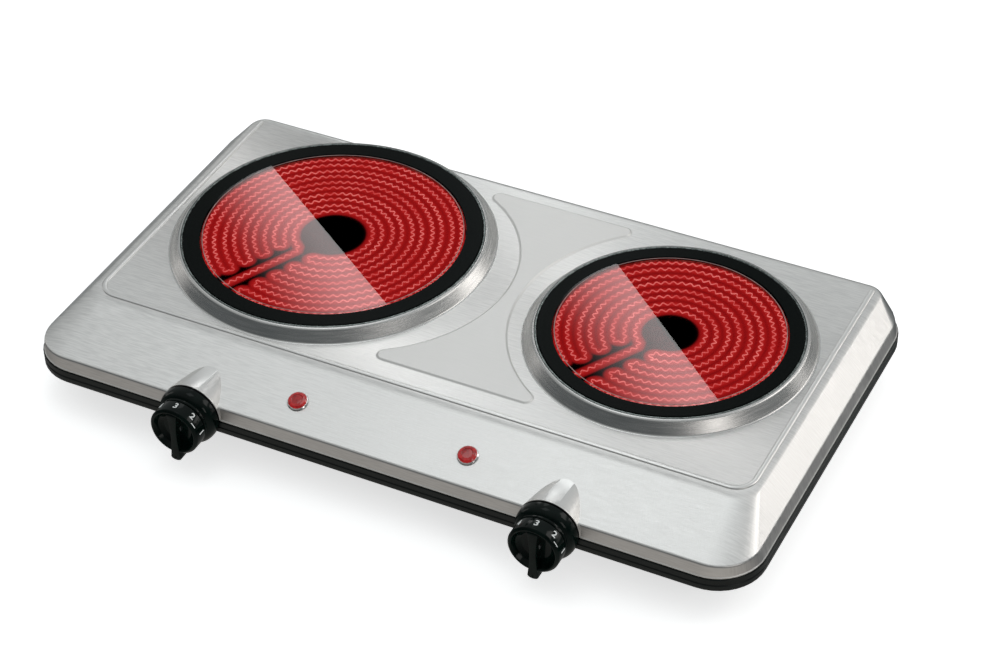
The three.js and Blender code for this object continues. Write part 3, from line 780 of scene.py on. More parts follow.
def field_rise():
    """The field as a solid: an S-shaped step up round its edge, then flat."""
    bm = bmesh.new()
    low = DECK_Z - 2 * MM
    face = bm.faces.new([bm.verts.new((p.x, p.y, low)) for p in field_outline()])
    bm.normal_update()
    if face.normal.z < 0:
        face.normal_flip()
    lifted = bmesh.ops.extrude_face_region(bm, geom=[face])["geom"]
    bmesh.ops.translate(
        bm, vec=(0, 0, 2 * MM - SUNK), verts=verts_in(lifted),
    )
    top = next(g for g in lifted if isinstance(g, bmesh.types.BMFace))
    steps, slope, height = 6, 2 * MM, 1.02 * MM
    level = 0
    for i in range(1, steps + 1):
        share = i / steps
        rise = height * share * share * (3 - 2 * share)
        bmesh.ops.inset_region(
            bm, faces=[top], thickness=slope / steps, depth=rise - level,
            use_even_offset=True, use_boundary=True,
        )
        level = rise
    bmesh.ops.recalc_face_normals(bm, faces=bm.faces)
    return bm


def bead_rise():
    """The bead round the front and the sides of the deck, its section swept along its line."""
    bm = bmesh.new()
    x, corner = 227.2 * MM, 13 * MM
    front, back = FRONT + 54.9 * MM, BACK - 16.3 * MM
    half, height = 1.8 * MM, 1 * MM
    section = [(half * cos(pi * i / 12), height * sin(pi * i / 12)) for i in range(13)]
    section += [(-half, -1.5 * MM), (half, -1.5 * MM)]
    ring = ring_of(bm, [(-x + u, back, DECK_Z - SUNK + w) for u, w in section])
    first = list(ring)

    def sweep(geom, steps=1, angle=0, cent=(0, 0, 0), dvec=(0, 0, 0)):
        edges = edges_in(geom)
        verts = list({v for e in edges for v in e.verts})
        made = bmesh.ops.spin(
            bm, geom=edges + verts, cent=cent, axis=(0, 0, 1), dvec=dvec, angle=angle, steps=steps,
        )
        return edges_in(made["geom_last"])

    def rounded_end(edges, out):
        """Draw a section in to a point, as a quarter round."""
        steps = 6
        for i in range(1, steps + 1):
            old, new = (cos(pi / 2 * min(k / steps, 0.97)) for k in (i - 1, i))
            go = sin(pi / 2 * min(i / steps, 0.97)) - sin(pi / 2 * (i - 1) / steps)
            edges = sweep(edges, dvec=(0, out * half * go, 0))
            verts = list({v for e in edges for v in e.verts})
            middle = sum((v.co.x for v in verts)) / len(verts)
            bmesh.ops.scale(
                bm, vec=(new / old, 1, new / old), verts=verts,
                space=Matrix.Translation((-middle, 0, -DECK_Z)),
            )
        bmesh.ops.contextual_create(bm, geom=edges)

    line = sweep(ring, dvec=(0, front + corner - back, 0))
    line = sweep(line, 12, pi / 2, (-x + corner, front + corner, 0))
    line = sweep(line, dvec=(2 * (x - corner), 0, 0))
    line = sweep(line, 12, pi / 2, (x - corner, front + corner, 0))
    line = sweep(line, dvec=(0, back - front - corner, 0))
    rounded_end(line, 1)
    rounded_end(first, 1)
    bmesh.ops.remove_doubles(bm, verts=bm.verts, dist=FINE)
    bmesh.ops.recalc_face_normals(bm, faces=bm.faces)
    return bm


def axis_of(side):
    """From a knob's own space, +Z out of the panel and +Y up, to its place."""
    return Matrix.Translation(KNOBS[side]) @ Matrix.Rotation(pi / 2, 4, "X")


def boss(side):
    """The half cone that carries a knob, cut off level with the skirt's lower edge."""
    radius, length, taper = COLLAR_R + 0.2 * MM, 47 * MM, 0.17
    cone = turned([
        (0, 0), (radius - 0.2 * MM, 0), (radius, -0.2 * MM),
        (radius - taper * length, -length), (0, -length),
    ], 144)
    soften(cone, 0.7 * MM, 4, 40, lambda e: all(v.co.z > -1 * MM for v in e.verts))
    placed(cone, axis_of(side))
    cut = bmesh.ops.bisect_plane(
        cone, geom=cone.verts[:] + cone.edges[:] + cone.faces[:], dist=FINE,
        plane_co=(0, 0, SKIRT_Z), plane_no=(0, 0, -1), clear_outer=True,
    )["geom_cut"]
    bmesh.ops.contextual_create(cone, geom=edges_in(cut))
    return cone


def lamp_place(side):
    """From a lamp's own space, +Z square to the panel, to its place."""
    low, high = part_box(f"lamp_lens_{side}")
    y = FRONT + 22 * MM
    z = FOLD_Z + (y - PANEL_FOOT) * FOLD_DROP / (FRONT + PANEL_DEPTH - PANEL_FOOT)
    return Matrix.Translation(((low.x + high.x) / 2, y, z)) @ Matrix.Rotation(PANEL_TILT, 4, "X")


class HOTPLATE_OT_top_housing(bpy.types.Operator):
    """Press and brush the steel top housing"""

    bl_idname = "hotplate.top_housing"
    bl_label = "Top housing"

    def execute(self, context):
        settings = context.scene.hotplate_housing
        shell = housing_shell(settings.fold, settings.edge)
        raised = [painted(ring_rise("large"), 1), painted(ring_rise("small"), 2), painted(field_rise(), 3)]
        # The bead takes the bosses' lighter steel, material 4: a painted highlight.
        raised += [painted(bead_rise(), 4), painted(boss("left"), 4), painted(boss("right"), 4)]
        shell = carved(shell, raised, "UNION")
        cuts = []
        for place in BURNERS.values():
            shelf, over, under = place["top"] - 4.3 * MM, place["top"] + 2 * MM, SKIRT_Z - 5 * MM
            well, seat = place["glass"] - 5 * MM, place["glass"] + 1.8 * MM
            cuts.append(turned([
                (0, under), (well, under), (well, shelf), (seat, shelf), (seat, over), (0, over),
            ], RING_STEPS, place["at"][:2]))
        for side in SIDES:
            hole = turned([(0, -3 * MM), (5.4 * MM, -3 * MM), (5.4 * MM, 3 * MM), (0, 3 * MM)], 48)
            cuts.append(placed(hole, lamp_place(side)))
            bore = turned([(0, -6 * MM), (6 * MM, -6 * MM), (6 * MM, 3 * MM), (0, 3 * MM)], 48)
            cuts.append(placed(bore, axis_of(side)))
        shell = carved(shell, cuts, "DIFFERENCE")
        self.open_below(shell)
        bmesh.ops.recalc_face_normals(shell, faces=shell.faces)
        piece = finish_piece(
            "top_housing_pressing", shell, self.finishes(), ["top_housing"],
        )
        pressed_sheet(piece, SHEET)
        return {"FINISHED"}

    @staticmethod
    def finishes():
        """The sheet, the two rings, the field, the bosses with the bead, and the hem, in that order."""

        def ring(size, light):
            centre = BURNERS[size]["at"]
            return brushed_steel(
                f"brushed_steel_ring_painted_shade_{size}", lambda tree: turned_grain(tree, centre),
                lambda tree: around(tree, centre), (0.22, 0.3), light=light,
            )

        def straight(name, way_of, *values):
            return brushed_steel(name, straight_grain, way_of, *values)

        return [
            straight("brushed_steel_sheet", along_x),
            # The two rings are the sheet coloured darker, a painted shade, the small one more than the
            # large.
            ring("large", 0.86),
            ring("small", 0.82),
            straight("satin_steel_field", along_x, (0.5, 0.54), 0.003 * MM, 0.2, 1.09),
            # The bosses and the bead are the sheet coloured lighter: a painted highlight.
            straight("brushed_steel_boss_painted_highlight", along_y, (0.3, 0.36), 0.004 * MM, 0.3, 1.08),
            # The hem is the sheet coloured much lighter: a painted highlight line along the skirt's lower
            # edge.
            straight("steel_hem_painted_highlight", along_x, (0.6, 0.7), 0.004 * MM, 0, 1.3),
        ]

    @staticmethod
    def open_below(shell):
        """Take away the underside and the inside of every well and hole, and leave the sheet."""
        shell.normal_update()

        def inside(face):
            spot = face.calc_center_median()
            if spot.z < SKIRT_Z + 0.01 * MM:
                return True
            for place in BURNERS.values():
                if max(from_axis(v.co, place["at"]) for v in face.verts) < place["glass"] - 4.8 * MM:
                    return True
            for side in SIDES:
                for to_place, reach in ((lamp_place(side), 5.5 * MM), (axis_of(side), 6.1 * MM)):
                    local = to_place.inverted() @ spot
                    if hypot(local.x, local.y) < reach and -8 * MM < local.z < -0.02 * MM:
                        return True
            return False

        bmesh.ops.delete(shell, geom=[f for f in shell.faces if inside(f)], context="FACES")


# ---- Base pan -----------------------------------------------------------


class HOTPLATE_OT_base_pan(bpy.types.Operator):
    """Draw the enamelled base pan, its lip, tub, slots and holes"""

    bl_idname = "hotplate.base_pan"
    bl_label = "Base pan"

    def execute(self, context):
        top = LIP_Z + 9.2 * MM
        lip = {**grown(SKIRT, LIP_OUT), "front_radius": 31.7 * MM, "back_radius": 30.7 * MM}
        stand = grown(SKIRT, -3.2 * MM)
        tub = {
            "half": HALF - 16 * MM, "front": FRONT + 20 * MM, "back": BACK - 14 * MM,
            "front_radius": 24 * MM, "back_radius": 24 * MM,
        }
        floor = PAN_LOW.z
        ledge, mouth = outline(**grown(lip, -1 * MM), z=LIP_Z), outline(**tub, z=LIP_Z)
        foot, under = outline(**grown(tub, -2 * MM), z=floor), outline(**grown(tub, -12 * MM), z=floor)
        groove = 0.5 * MM
        pan = stacked([
            outline(**stand, z=SKIRT_Z + 4.5 * MM), outline(**stand, z=top),
            outline(**grown(lip, -groove), z=top), outline(**lip, z=top - 0.5 * MM),
            outline(**lip, z=LIP_Z + 5.6 * MM), outline(**grown(lip, -groove), z=LIP_Z + 5.1 * MM),
            outline(**grown(lip, -groove), z=LIP_Z + 4.5 * MM), outline(**lip, z=LIP_Z + 4 * MM),
            outline(**lip, z=LIP_Z + 1 * MM), outline(**grown(lip, -0.3 * MM), z=LIP_Z + 0.3 * MM), ledge,
            *eased(ledge, mouth, foot, 2 * MM, 4), *eased(mouth, foot, under, 3.5 * MM, 6), under,
        ])
        pan = carved(pan, self.holes(), "DIFFERENCE")
        pan.normal_update()
        bmesh.ops.delete(pan, geom=[f for f in pan.faces if self.inner(f)], context="FACES")
        piece = finish_piece("base_pan_pressing", pan, [pan_enamel()], ["base_pan"])
        pressed_sheet(piece, PAN_SHEET)
        return {"FINISHED"}

    @staticmethod
    def inner(face):
        """The closed top and the walls that a cut left inside the sheet."""
        spot, floor = face.calc_center_median(), PAN_LOW.z
        if spot.z > SKIRT_Z + 4.4 * MM:
            return True
        in_tub = abs(spot.x) < HALF - 22 * MM and FRONT + 25 * MM < spot.y < BACK - 19 * MM
        low_wall = floor + 0.01 * MM < spot.z < floor + 1.9 * MM and abs(face.normal.z) < 0.5
        roof = abs(spot.z - floor - 2 * MM) < 0.01 * MM
        return in_tub and (low_wall or roof)

    @staticmethod
    def holes():
        """Rows of round-ended vent slots under each burner."""
        floor, cuts = PAN_LOW.z, []
        rows, pitch, half, radius = 5, 14 * MM, 26.2 * MM, 1.8 * MM
        for place in BURNERS.values():
            for row in range(rows):
                y = place["at"].y + (row - (rows - 1) / 2) * pitch
                ends = arc((place["at"].x + half, y), radius, -pi / 2, pi / 2, 8)
                ends += arc((place["at"].x - half, y), radius, pi / 2, 1.5 * pi, 8)
                slot = bmesh.new()
                face = slot.faces.new([slot.verts.new((p.x, p.y, floor - 1 * MM)) for p in ends])
                up = bmesh.ops.extrude_face_region(slot, geom=[face])["geom"]
                bmesh.ops.translate(slot, vec=(0, 0, 3 * MM), verts=verts_in(up))
                bmesh.ops.recalc_face_normals(slot, faces=slot.faces)
                cuts.append(slot)
        return cuts


# ---- Burners ------------------------------------------------------------


def ribbon_path(size, settings):
    """The ribbon's line as points in X and Y: in along the gap, then ring by ring, out and back."""
    place = BURNERS[size]
    glow = place["glass"] * GLOW_SHARE
    inner, outer = glow * 0.295, glow - 2.8 * MM    # round the cool centre, and beside the wall
    rings = place["rings"]
    radii = [inner + (outer - inner) * i / (rings - 1) for i in range(rings)]
    step = settings.pitch / WAVE_STEPS
    turn = (radii[1] - radii[0]) / 2
    reach = FEED_HALF + turn

    def opening(r):
        """Half the angle that the gap takes up at that radius."""
        return pi / 2 if r <= reach else atan2(reach, sqrt(r * r - reach * reach))

    line = [Vector((outer + 2 * MM - k * step, 0)) for k in range(int((outer - inner) / step))]
    line = [p for p in line if p.x > inner + 2.5 * MM]
    line.append(Vector((inner * cos(0.12), -3 * MM)))    # eases the feed into the first ring
    way = -1
    for i, r in enumerate(radii):
        gap = opening(r)
        start, end = (-gap, -2 * pi + gap) if way < 0 else (gap - 2 * pi, -gap)
        if i == 0:
            start = -0.42                # the feed joins the first ring here, inside the gap
        steps = max(8, int(abs(end - start) * r / step))
        line += arc((0, 0), r, start, end, steps)
        if i < rings - 1:
            middle = r + turn
            side = 1 if way < 0 else -1
            gap_end = opening(middle)
            centre = (middle * cos(side * gap_end), middle * sin(side * gap_end))
            facing = side * gap_end + pi
            line += arc(centre, turn, facing, facing + side * pi, 8)[1:-1]
        way = -way
    return line


def evenly(points, step):
    """The same line with a point at every step of its length."""
    placed_points, spare = [points[0].copy()], 0.0
    for a, b in zip(points, points[1:]):
        length = (b - a).length
        along = step - spare
        while along <= length and length > 0:
            placed_points.append(a.lerp(b, along / length))
            along += step
        spare = length - (along - step) if length else spare
    return placed_points


def corrugated(points, swing):
    """The line bent from side to side, as the ribbon is crimped."""
    out = []
    for i, p in enumerate(points):
        before, after = points[max(i - 1, 0)], points[min(i + 1, len(points) - 1)]
        run = (after - before).normalized()
        side = Vector((-run.y, run.x))
        wave = sin(2 * pi * i / WAVE_STEPS)
        out.append(p + side * swing * wave)
    return out


class HOTPLATE_OT_heating_ribbons(bpy.types.Operator):
    """Crimp the heating ribbons, and light the boards under them"""

    bl_idname = "hotplate.heating_ribbons"
    bl_label = "Heating ribbons"

    def execute(self, context):
        settings = context.scene.hotplate_element
        alloy, board, felt = glowing_ribbon(), lit_fibre(), plain_fibre()
        for size, place in BURNERS.items():
            to_burner = Matrix.Translation((place["at"].x, place["at"].y, 0))
            to_place = to_burner @ Matrix.Rotation(place["gap"], 4, "Z")
            low, high = (corner.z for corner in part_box(f"heating_ribbon_{size}"))
            even = evenly(ribbon_path(size, settings), settings.pitch / WAVE_STEPS)
            line = corrugated(even, settings.swing)
            bm = bmesh.new()
            verts = [bm.verts.new(to_place @ Vector((p.x, p.y, low))) for p in line]
            edges = [bm.edges.new(pair) for pair in zip(verts, verts[1:])]
            up = bmesh.ops.extrude_edge_only(bm, edges=edges)["geom"]
            bmesh.ops.translate(bm, vec=(0, 0, high - low), verts=verts_in(up))
            bmesh.ops.recalc_face_normals(bm, faces=bm.faces)
            bmesh.ops.solidify(bm, geom=bm.faces[:], thickness=0.42 * MM)
            finish_piece(
                f"crimped_ribbon_{size}", bm, [alloy], [f"heating_ribbon_{size}"], sharp=60,
            )
            self.board(size, place, [to_place @ Vector((p.x, p.y, 0)) for p in even], board)
            self.wall(size, place, felt)
        return {"FINISHED"}

    @staticmethod
    def board(size, place, line, finish):
        """The board: a fine-meshed disc that knows how near the ribbon is, with a plain underside."""
        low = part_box(f"insulation_base_{size}")[0].z
        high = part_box(f"heating_ribbon_{size}")[1].z - RIBBON_PROUD
        radius = place["glass"] * GLOW_SHARE - 0.2 * MM
        tree = KDTree(len(line))
        for i, p in enumerate(line):
            tree.insert((p.x, p.y, 0), i)
        tree.balance()
        bm = bmesh.new()
        cell, halo, core = 1.15 * MM, 3.9 * MM, 1.3 * MM
        cells = int(2 * radius / cell)
        bmesh.ops.create_grid(bm, x_segments=cells, y_segments=cells, size=radius)
        bmesh.ops.translate(bm, vec=(place["at"].x, place["at"].y, high), verts=bm.verts)
        outside = [v for v in bm.verts if from_axis(v.co, place["at"]) > radius - 0.6 * MM]
        bmesh.ops.delete(bm, geom=outside, context="VERTS")
        rim = [e for e in bm.edges if e.is_boundary]
        down = bmesh.ops.extrude_edge_only(bm, edges=rim)["geom"]
        for v in verts_in(down):
            v.co.z = low
        bmesh.ops.contextual_create(bm, geom=[e for e in bm.edges if e.is_boundary])
        layer = bm.verts.layers.float.new(GLOW_LAYER)
        for v in bm.verts:
            away = tree.find((v.co.x, v.co.y, 0))[2]
            v[layer] = 0.72 * exp(-((away / halo) ** 4)) + 0.22 * exp(-((away / core) ** 2))
        bmesh.ops.recalc_face_normals(bm, faces=bm.faces)
        finish_piece(f"fibre_board_{size}", bm, [finish], [f"insulation_base_{size}"])

    @staticmethod
    def wall(size, place, finish):
        """The fibre ring that closes the burner at its side."""
        low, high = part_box(f"insulation_wall_{size}")
        outer, inner = (high.x - low.x) / 2, place["glass"] * GLOW_SHARE
        section = [(inner, low.z), (outer, low.z), (outer, high.z), (inner, high.z)]
        bm = turned(section, 128, place["at"][:2])
        soften(bm, 0.5 * MM, 2)
        finish_piece(f"fibre_wall_{size}", bm, [finish], [f"insulation_wall_{size}"])


class HOTPLATE_OT_glass_plates(bpy.types.Operator):
    """Cut the glass plates, and set each in its steel ring"""

    bl_idname = "hotplate.glass_plates"
    bl_label = "Glass plates"

    def execute(self, context):
        clear, border, hairline, trim = ceramic_glass(), glass_print(), ground_line(), slot_shaded_trim()
        for size, place in BURNERS.items():
            radius, top = place["glass"], place["top"]
            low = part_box(f"glass_plate_{size}")[0].z
            window = radius * GLOW_SHARE
            line = window - 1.6 * MM
            groove = 0.3 * MM
            bm = turned([
                (0, low), (window, low), (radius - 0.3 * MM, low), (radius, low + 0.3 * MM),
                (radius, top - 0.6 * MM), (radius - 0.18 * MM, top - 0.2 * MM), (radius - 0.6 * MM, top),
                (window, top), (line + groove, top), (line, top - 0.16 * MM), (line - groove, top),
                (0, top),
            ], RING_STEPS, place["at"][:2])
            for face in bm.faces:
                spot = face.calc_center_median()
                away = from_axis(spot, place["at"])
                face.material_index = 0 if away < window - 0.05 * MM else 1
                if abs(away - line) < groove and spot.z > top - 0.3 * MM:
                    face.material_index = 2
            finish_piece(
                f"glass_disc_{size}", bm, [clear, border, hairline],
                [f"glass_plate_{size}"], sharp=20,
            )
            ring_low, ring_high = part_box(f"trim_ring_{size}")
            inner, outer = radius + 0.3 * MM, (ring_high.x - ring_low.x) / 2
            ring = turned(
                [(inner, ring_low.z), (outer, ring_low.z), (outer, ring_high.z), (inner, ring_high.z)],
                RING_STEPS, place["at"][:2],
            )
            soften(ring, 0.3 * MM, 3)
            finish_piece(f"steel_trim_{size}", ring, [trim], [f"trim_ring_{size}"])
        return {"FINISHED"}


# ---- Knobs --------------------------------------------------------------


def grip_outline():
    """The grip bar seen from the front: waisted, and flared at its lower end."""
    top, tip = 15.9 * MM, -22.6 * MM
    wide, waist = 3.9 * MM, 2.2 * MM

    def half_width(y):
        share = (y - tip) / (top - tip)
        return waist + (wide - waist) * abs(2 * share - 1) ** 1.7

    steps = 18
    heights = [top + (tip + 2 * MM - top) * i / steps for i in range(steps + 1)]
    right = [Vector((half_width(y), y)) for y in heights]
    low = right[-1]
    foot = [Vector((low.x * cos(a), low.y - 2 * MM * sin(a))) for a in (pi * i / 10 for i in range(1, 10))]
    left = [Vector((-p.x, p.y)) for p in reversed(right)]
    return right + foot + left


def dial_solid():
    """The dial: a drum with two scooped recesses beside a grip bar, and a sunk dot at the bar's tip."""
    reach = KNOB_REACH
    drum = turned([
        (0, DIAL_BACK), (DIAL_R - 0.7 * MM, DIAL_BACK), (DIAL_R, DIAL_BACK + 0.7 * MM),
        (DIAL_R, reach - 1.5 * MM), (DIAL_R - 1.5 * MM, reach - 0.1 * MM),
        (DIAL_R - 2.2 * MM, reach - 0.1 * MM),
        (DIAL_R - 2.7 * MM, reach - 0.8 * MM), (DIAL_R - 4.2 * MM, reach - 3.6 * MM),
        (DIAL_R - 7 * MM, reach - 5.6 * MM), (0, reach - 6 * MM),
    ], 96)
    soften(drum, 0.5 * MM, 3, 24)
    bar = bmesh.new()
    low, high = reach - 8 * MM, reach
    face = bar.faces.new([bar.verts.new((p.x, p.y, low)) for p in grip_outline()])
    up = bmesh.ops.extrude_face_region(bar, geom=[face])["geom"]
    bmesh.ops.translate(bar, vec=(0, 0, high - low), verts=verts_in(up))
    cut = bmesh.ops.bisect_plane(
        bar, geom=bar.verts[:] + bar.edges[:] + bar.faces[:], dist=FINE,
        plane_co=(0, 13.4 * MM, high), plane_no=(0, 1, 1.1), clear_outer=True,
    )["geom_cut"]
    bmesh.ops.contextual_create(bar, geom=edges_in(cut))
    bmesh.ops.recalc_face_normals(bar, faces=bar.faces)
    soften(bar, 0.45 * MM, 3, 40)
    dial = carved(drum, [bar], "UNION")
    bore = turned([(0, 0), (3.2 * MM, 0), (3.2 * MM, 16 * MM), (0, 16 * MM)], 32)
    sunk, over = reach - 0.5 * MM, reach + 1 * MM
    dot = turned([(0, sunk), (0.5 * MM, sunk), (0.8 * MM, over), (0, over)], 20)
    placed(dot, Matrix.Translation((0, -20.4 * MM, 0)))
    return carved(dial, [bore, dot], "DIFFERENCE")


def figure(text, height, turn, middle):
    """A number as a thin shell of ink, wrapped on the dial's side at that angle from the top."""
    curve = bpy.data.curves.new("figure", "FONT")
    curve.body = text
    curve.size = height / 0.7            # a figure takes up 0.7 of its type size
    curve.align_x = "CENTER"
    curve.align_y = "CENTER"
    curve.offset = 0.12 * MM
    holder = bpy.data.objects.new("figure", curve)
    bpy.context.scene.collection.objects.link(holder)
    bpy.context.view_layer.update()
    flat = bpy.data.meshes.new_from_object(holder.evaluated_get(bpy.context.evaluated_depsgraph_get()))
    bm = bmesh.new()
    bm.from_mesh(flat)
    bpy.data.objects.remove(holder)
    bpy.data.curves.remove(curve)
    bpy.data.meshes.remove(flat)
    return wrapped(bm, turn, middle)


def wrapped(bm, turn, middle):
    """Wrap a flat shape round the dial, give it the ink's thickness, and return it."""
    bmesh.ops.remove_doubles(bm, verts=bm.verts, dist=FINE)
    for k in range(-6, 7):
        bmesh.ops.bisect_plane(
            bm, geom=bm.verts[:] + bm.edges[:] + bm.faces[:], dist=FINE,
            plane_co=(k * 0.5 * MM, 0, 0), plane_no=(1, 0, 0),
        )
    outer = DIAL_R + 0.07 * MM
    for v in bm.verts:
        angle = turn + v.co.x / DIAL_R
        v.co = (outer * sin(angle), outer * cos(angle), middle - v.co.y)
    bmesh.ops.recalc_face_normals(bm, faces=bm.faces)
    bm.normal_update()
    if sum(f.normal.dot(Vector((sin(turn), cos(turn), 0))) for f in bm.faces) < 0:
        bmesh.ops.reverse_faces(bm, faces=bm.faces)
    bmesh.ops.solidify(bm, geom=bm.faces[:], thickness=0.12 * MM)
    return bm


class HOTPLATE_OT_knobs(bpy.types.Operator):
    """Mould the knob collars and dials, and print the numbers"""

    bl_idname = "hotplate.knobs"
    bl_label = "Knobs"

    def execute(self, context):
        settings = context.scene.hotplate_knob
        black, ink = thermoset(), figure_ink()
        for side in SIDES:
            collar = turned([
                (3.6 * MM, -2 * MM), (5.4 * MM, -2 * MM), (5.4 * MM, 1.1 * MM),
                (COLLAR_R - 0.5 * MM, 1.1 * MM), (COLLAR_R, 1.6 * MM), (COLLAR_R, 3.9 * MM),
                (COLLAR_R - 0.15 * MM, 5.4 * MM), (COLLAR_R - 0.55 * MM, 6.8 * MM),
                (COLLAR_R - 1.2 * MM, 8.1 * MM), (COLLAR_R - 2.1 * MM, 9.2 * MM),
                (COLLAR_R - 3.1 * MM, 9.9 * MM), (COLLAR_R - 3.1 * MM, 10.9 * MM),
                (COLLAR_R - 3.5 * MM, COLLAR_FRONT), (3.6 * MM, COLLAR_FRONT),
            ], 96)
            placed(collar, axis_of(side))
            finish_piece(f"moulded_collar_{side}", collar, [black], [f"knob_collar_{side}"])
            dial, body = placed(dial_solid(), axis_of(side)), f"dial_{side}"
            finish_piece(f"moulded_{body}", dial, [black], [body], body=body, sharp=40)
            self.numbers(side, settings, ink)
        return {"FINISHED"}

    @staticmethod
    def numbers(side, settings, ink):
        """3 is on top at rest. 2, 1 and 0 follow it clockwise, and 4 and 5 the other way."""
        middle, body = (DIAL_BACK + KNOB_REACH - 1 * MM) / 2 - 0.4 * MM, f"dial_{side}"
        turns = {"3": 0, "2": 1, "1": 2, "4": -1, "5": -2, "0": 3}
        for text, steps in turns.items():
            mark = figure(text, settings.figure, steps * settings.step, middle)
            placed(mark, axis_of(side))
            finish_piece(f"figure_{text}_{side}", mark, [ink], body=body)
        dash = bmesh.new()
        bmesh.ops.create_grid(dash, x_segments=6, y_segments=1, size=1)
        bmesh.ops.scale(dash, vec=(2.1 * MM, 0.3 * MM, 1), verts=dash.verts)
        dash = wrapped(dash, radians(57), KNOB_REACH - 2.4 * MM)
        placed(dash, axis_of(side))
        finish_piece(f"figure_mark_{side}", dash, [ink], body=body)


# ---- Lamps --------------------------------------------------------------


class HOTPLATE_OT_pilot_lamps(bpy.types.Operator):
    """Set the pilot lamps in the panel"""

    bl_idname = "hotplate.pilot_lamps"
    bl_label = "Pilot lamps"

    def execute(self, context):
        bright = chromed_bezel()
        red, table = lamp_red("red_acrylic", 0.3), lamp_red("red_acrylic_table", 0.12)
        for side in SIDES:
            body = turned([
                (0, -18 * MM), (4.2 * MM, -18 * MM), (4.9 * MM, -17 * MM), (4.9 * MM, 0.3 * MM),
                (6.8 * MM, 0.3 * MM), (6.8 * MM, 0.7 * MM), (6.3 * MM, 1.3 * MM), (5.7 * MM, 1.4 * MM),
                (5.5 * MM, 0.9 * MM), (4.2 * MM, 0.9 * MM), (4.2 * MM, -6 * MM), (0, -6 * MM),
            ], 72)
            placed(body, lamp_place(side))
            finish_piece(f"lamp_bezel_{side}", body, [bright], [f"lamp_body_{side}"])
            lens = turned([
                (0, -5 * MM), (3.9 * MM, -5 * MM), (3.9 * MM, 1.5 * MM), (6.1 * MM, 1.5 * MM),
                (6.15 * MM, 1.9 * MM), (5.2 * MM, 2.8 * MM), (3.7 * MM, 3.1 * MM), (3.4 * MM, 2.7 * MM),
                (0, 2.9 * MM),
            ], 16)
            for face in lens.faces:
                spot = face.calc_center_median()
                face.material_index = int(hypot(spot.x, spot.y) < 3.6 * MM)
            soften(lens, 0.12 * MM, 2, 12, lambda e: max(v.co.z for v in e.verts) > 1.6 * MM)
            placed(lens, lamp_place(side))
            finish_piece(f"cut_lens_{side}", lens, [red, table], [f"lamp_lens_{side}"], sharp=8)
        return {"FINISHED"}


# ---- Feet, screws, gland ------------------------------------------------


def pan_head(radius, height, shank, length):
    """A pan-head screw, head down, with a cross recess."""
    head = turned([
        (0, 0), (radius * 0.55, 0.05 * height), (radius * 0.85, 0.28 * height), (radius, 0.65 * height),
        (radius, height), (shank, height), (shank, height + length), (0, height + length),
    ], 32)
    depth, wide, long = height * 0.6, radius * 0.16, radius * 0.62
    cross = [block((-x, -y, -1 * MM), (x, y, depth)) for x, y in ((long, wide), (wide, long))]
    return carved(head, cross, "DIFFERENCE")


class HOTPLATE_OT_feet_and_screws(bpy.types.Operator):
    """Fit the rubber feet and every screw under the pan"""

    bl_idname = "hotplate.feet_and_screws"
    bl_label = "Feet and screws"

    def execute(self, context):
        rubber, zinc = moulded_rubber(), zinc_plate()
        for end in ("front", "back"):
            for side in SIDES:
                name = f"{end}_{side}"
                low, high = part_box(f"foot_{name}")
                tall, wide = high.z - low.z, (high.x - low.x) / 2
                foot = turned([
                    (2.4 * MM, 3 * MM), (5.2 * MM, 3 * MM), (5.2 * MM, 0), (wide - 1.8 * MM, 0),
                    (wide - 0.6 * MM, 1.2 * MM), (wide, tall), (2.4 * MM, tall),
                ], 64)
                soften(foot, 0.5 * MM, 3)
                placed(foot, standing_at(low, high))
                finish_piece(f"rubber_foot_{name}", foot, [rubber], [f"foot_{name}"])
                for kind, shank, length in (("foot", 1.9 * MM, 10 * MM), ("corner", 1.6 * MM, 6 * MM)):
                    node = f"{kind}_screw_{name}"
                    low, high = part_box(node)
                    screw = pan_head((high.x - low.x) / 2, 1.6 * MM, shank, length)
                    placed(screw, standing_at(low, high))
                    finish_piece(f"{kind}_pan_screw_{name}", screw, [zinc], [node])
        return {"FINISHED"}


class HOTPLATE_OT_cord_gland(bpy.types.Operator):
    """Fit the rubber gland in the back of the pan"""

    bl_idname = "hotplate.cord_gland"
    bl_label = "Cord gland"

    def execute(self, context):
        low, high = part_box("cord_gland")
        tub_back = BACK - 14 * MM
        gland = turned([
            (3.7 * MM, -3.5 * MM), (6.6 * MM, -3.5 * MM), (6.6 * MM, -1.5 * MM), (5.2 * MM, -1.5 * MM),
            (5.2 * MM, 0.3 * MM), (6.6 * MM, 0.3 * MM), (6.6 * MM, 2.3 * MM), (5.4 * MM, 4.3 * MM),
            (3.7 * MM, 4.3 * MM),
        ], 64)
        soften(gland, 0.4 * MM, 3)
        centre = Vector(((low.x + high.x) / 2, tub_back, (low.z + high.z) / 2))
        placed(gland, Matrix.Translation(centre) @ Matrix.Rotation(-pi / 2, 4, "X"))
        finish_piece("rubber_gland", gland, [moulded_rubber()], ["cord_gland"])
        return {"FINISHED"}


# ---- Works inside the housing -------------------------------------------


class HOTPLATE_OT_inner_works(bpy.types.Operator):
    """Give every piece inside the housing its finish"""

    bl_idname = "hotplate.inner_works"
    bl_label = "Inner works"

    def execute(self, context):
        plated = (
            "element_dish", "dish_support", "regulator_shaft", "regulator_nut", "regulator_bracket",
            "corner_bracket",
        )
        finishes = (
            (zinc_plate(), plated),
            (fired_ceramic(), ("thermal_limiter", "terminal_block")),
            (white_nylon(), ("regulator_left", "regulator_right")),
            (sleeve(), ("supply_lead",)),
        )
        for finish, names in finishes:
            for name, node in NODES.items():
                if name.startswith(names) and not node.hide_render:
                    for material_slot in node.material_slots:
                        material_slot.material = finish
        return {"FINISHED"}


# ---- Stage --------------------------------------------------------------

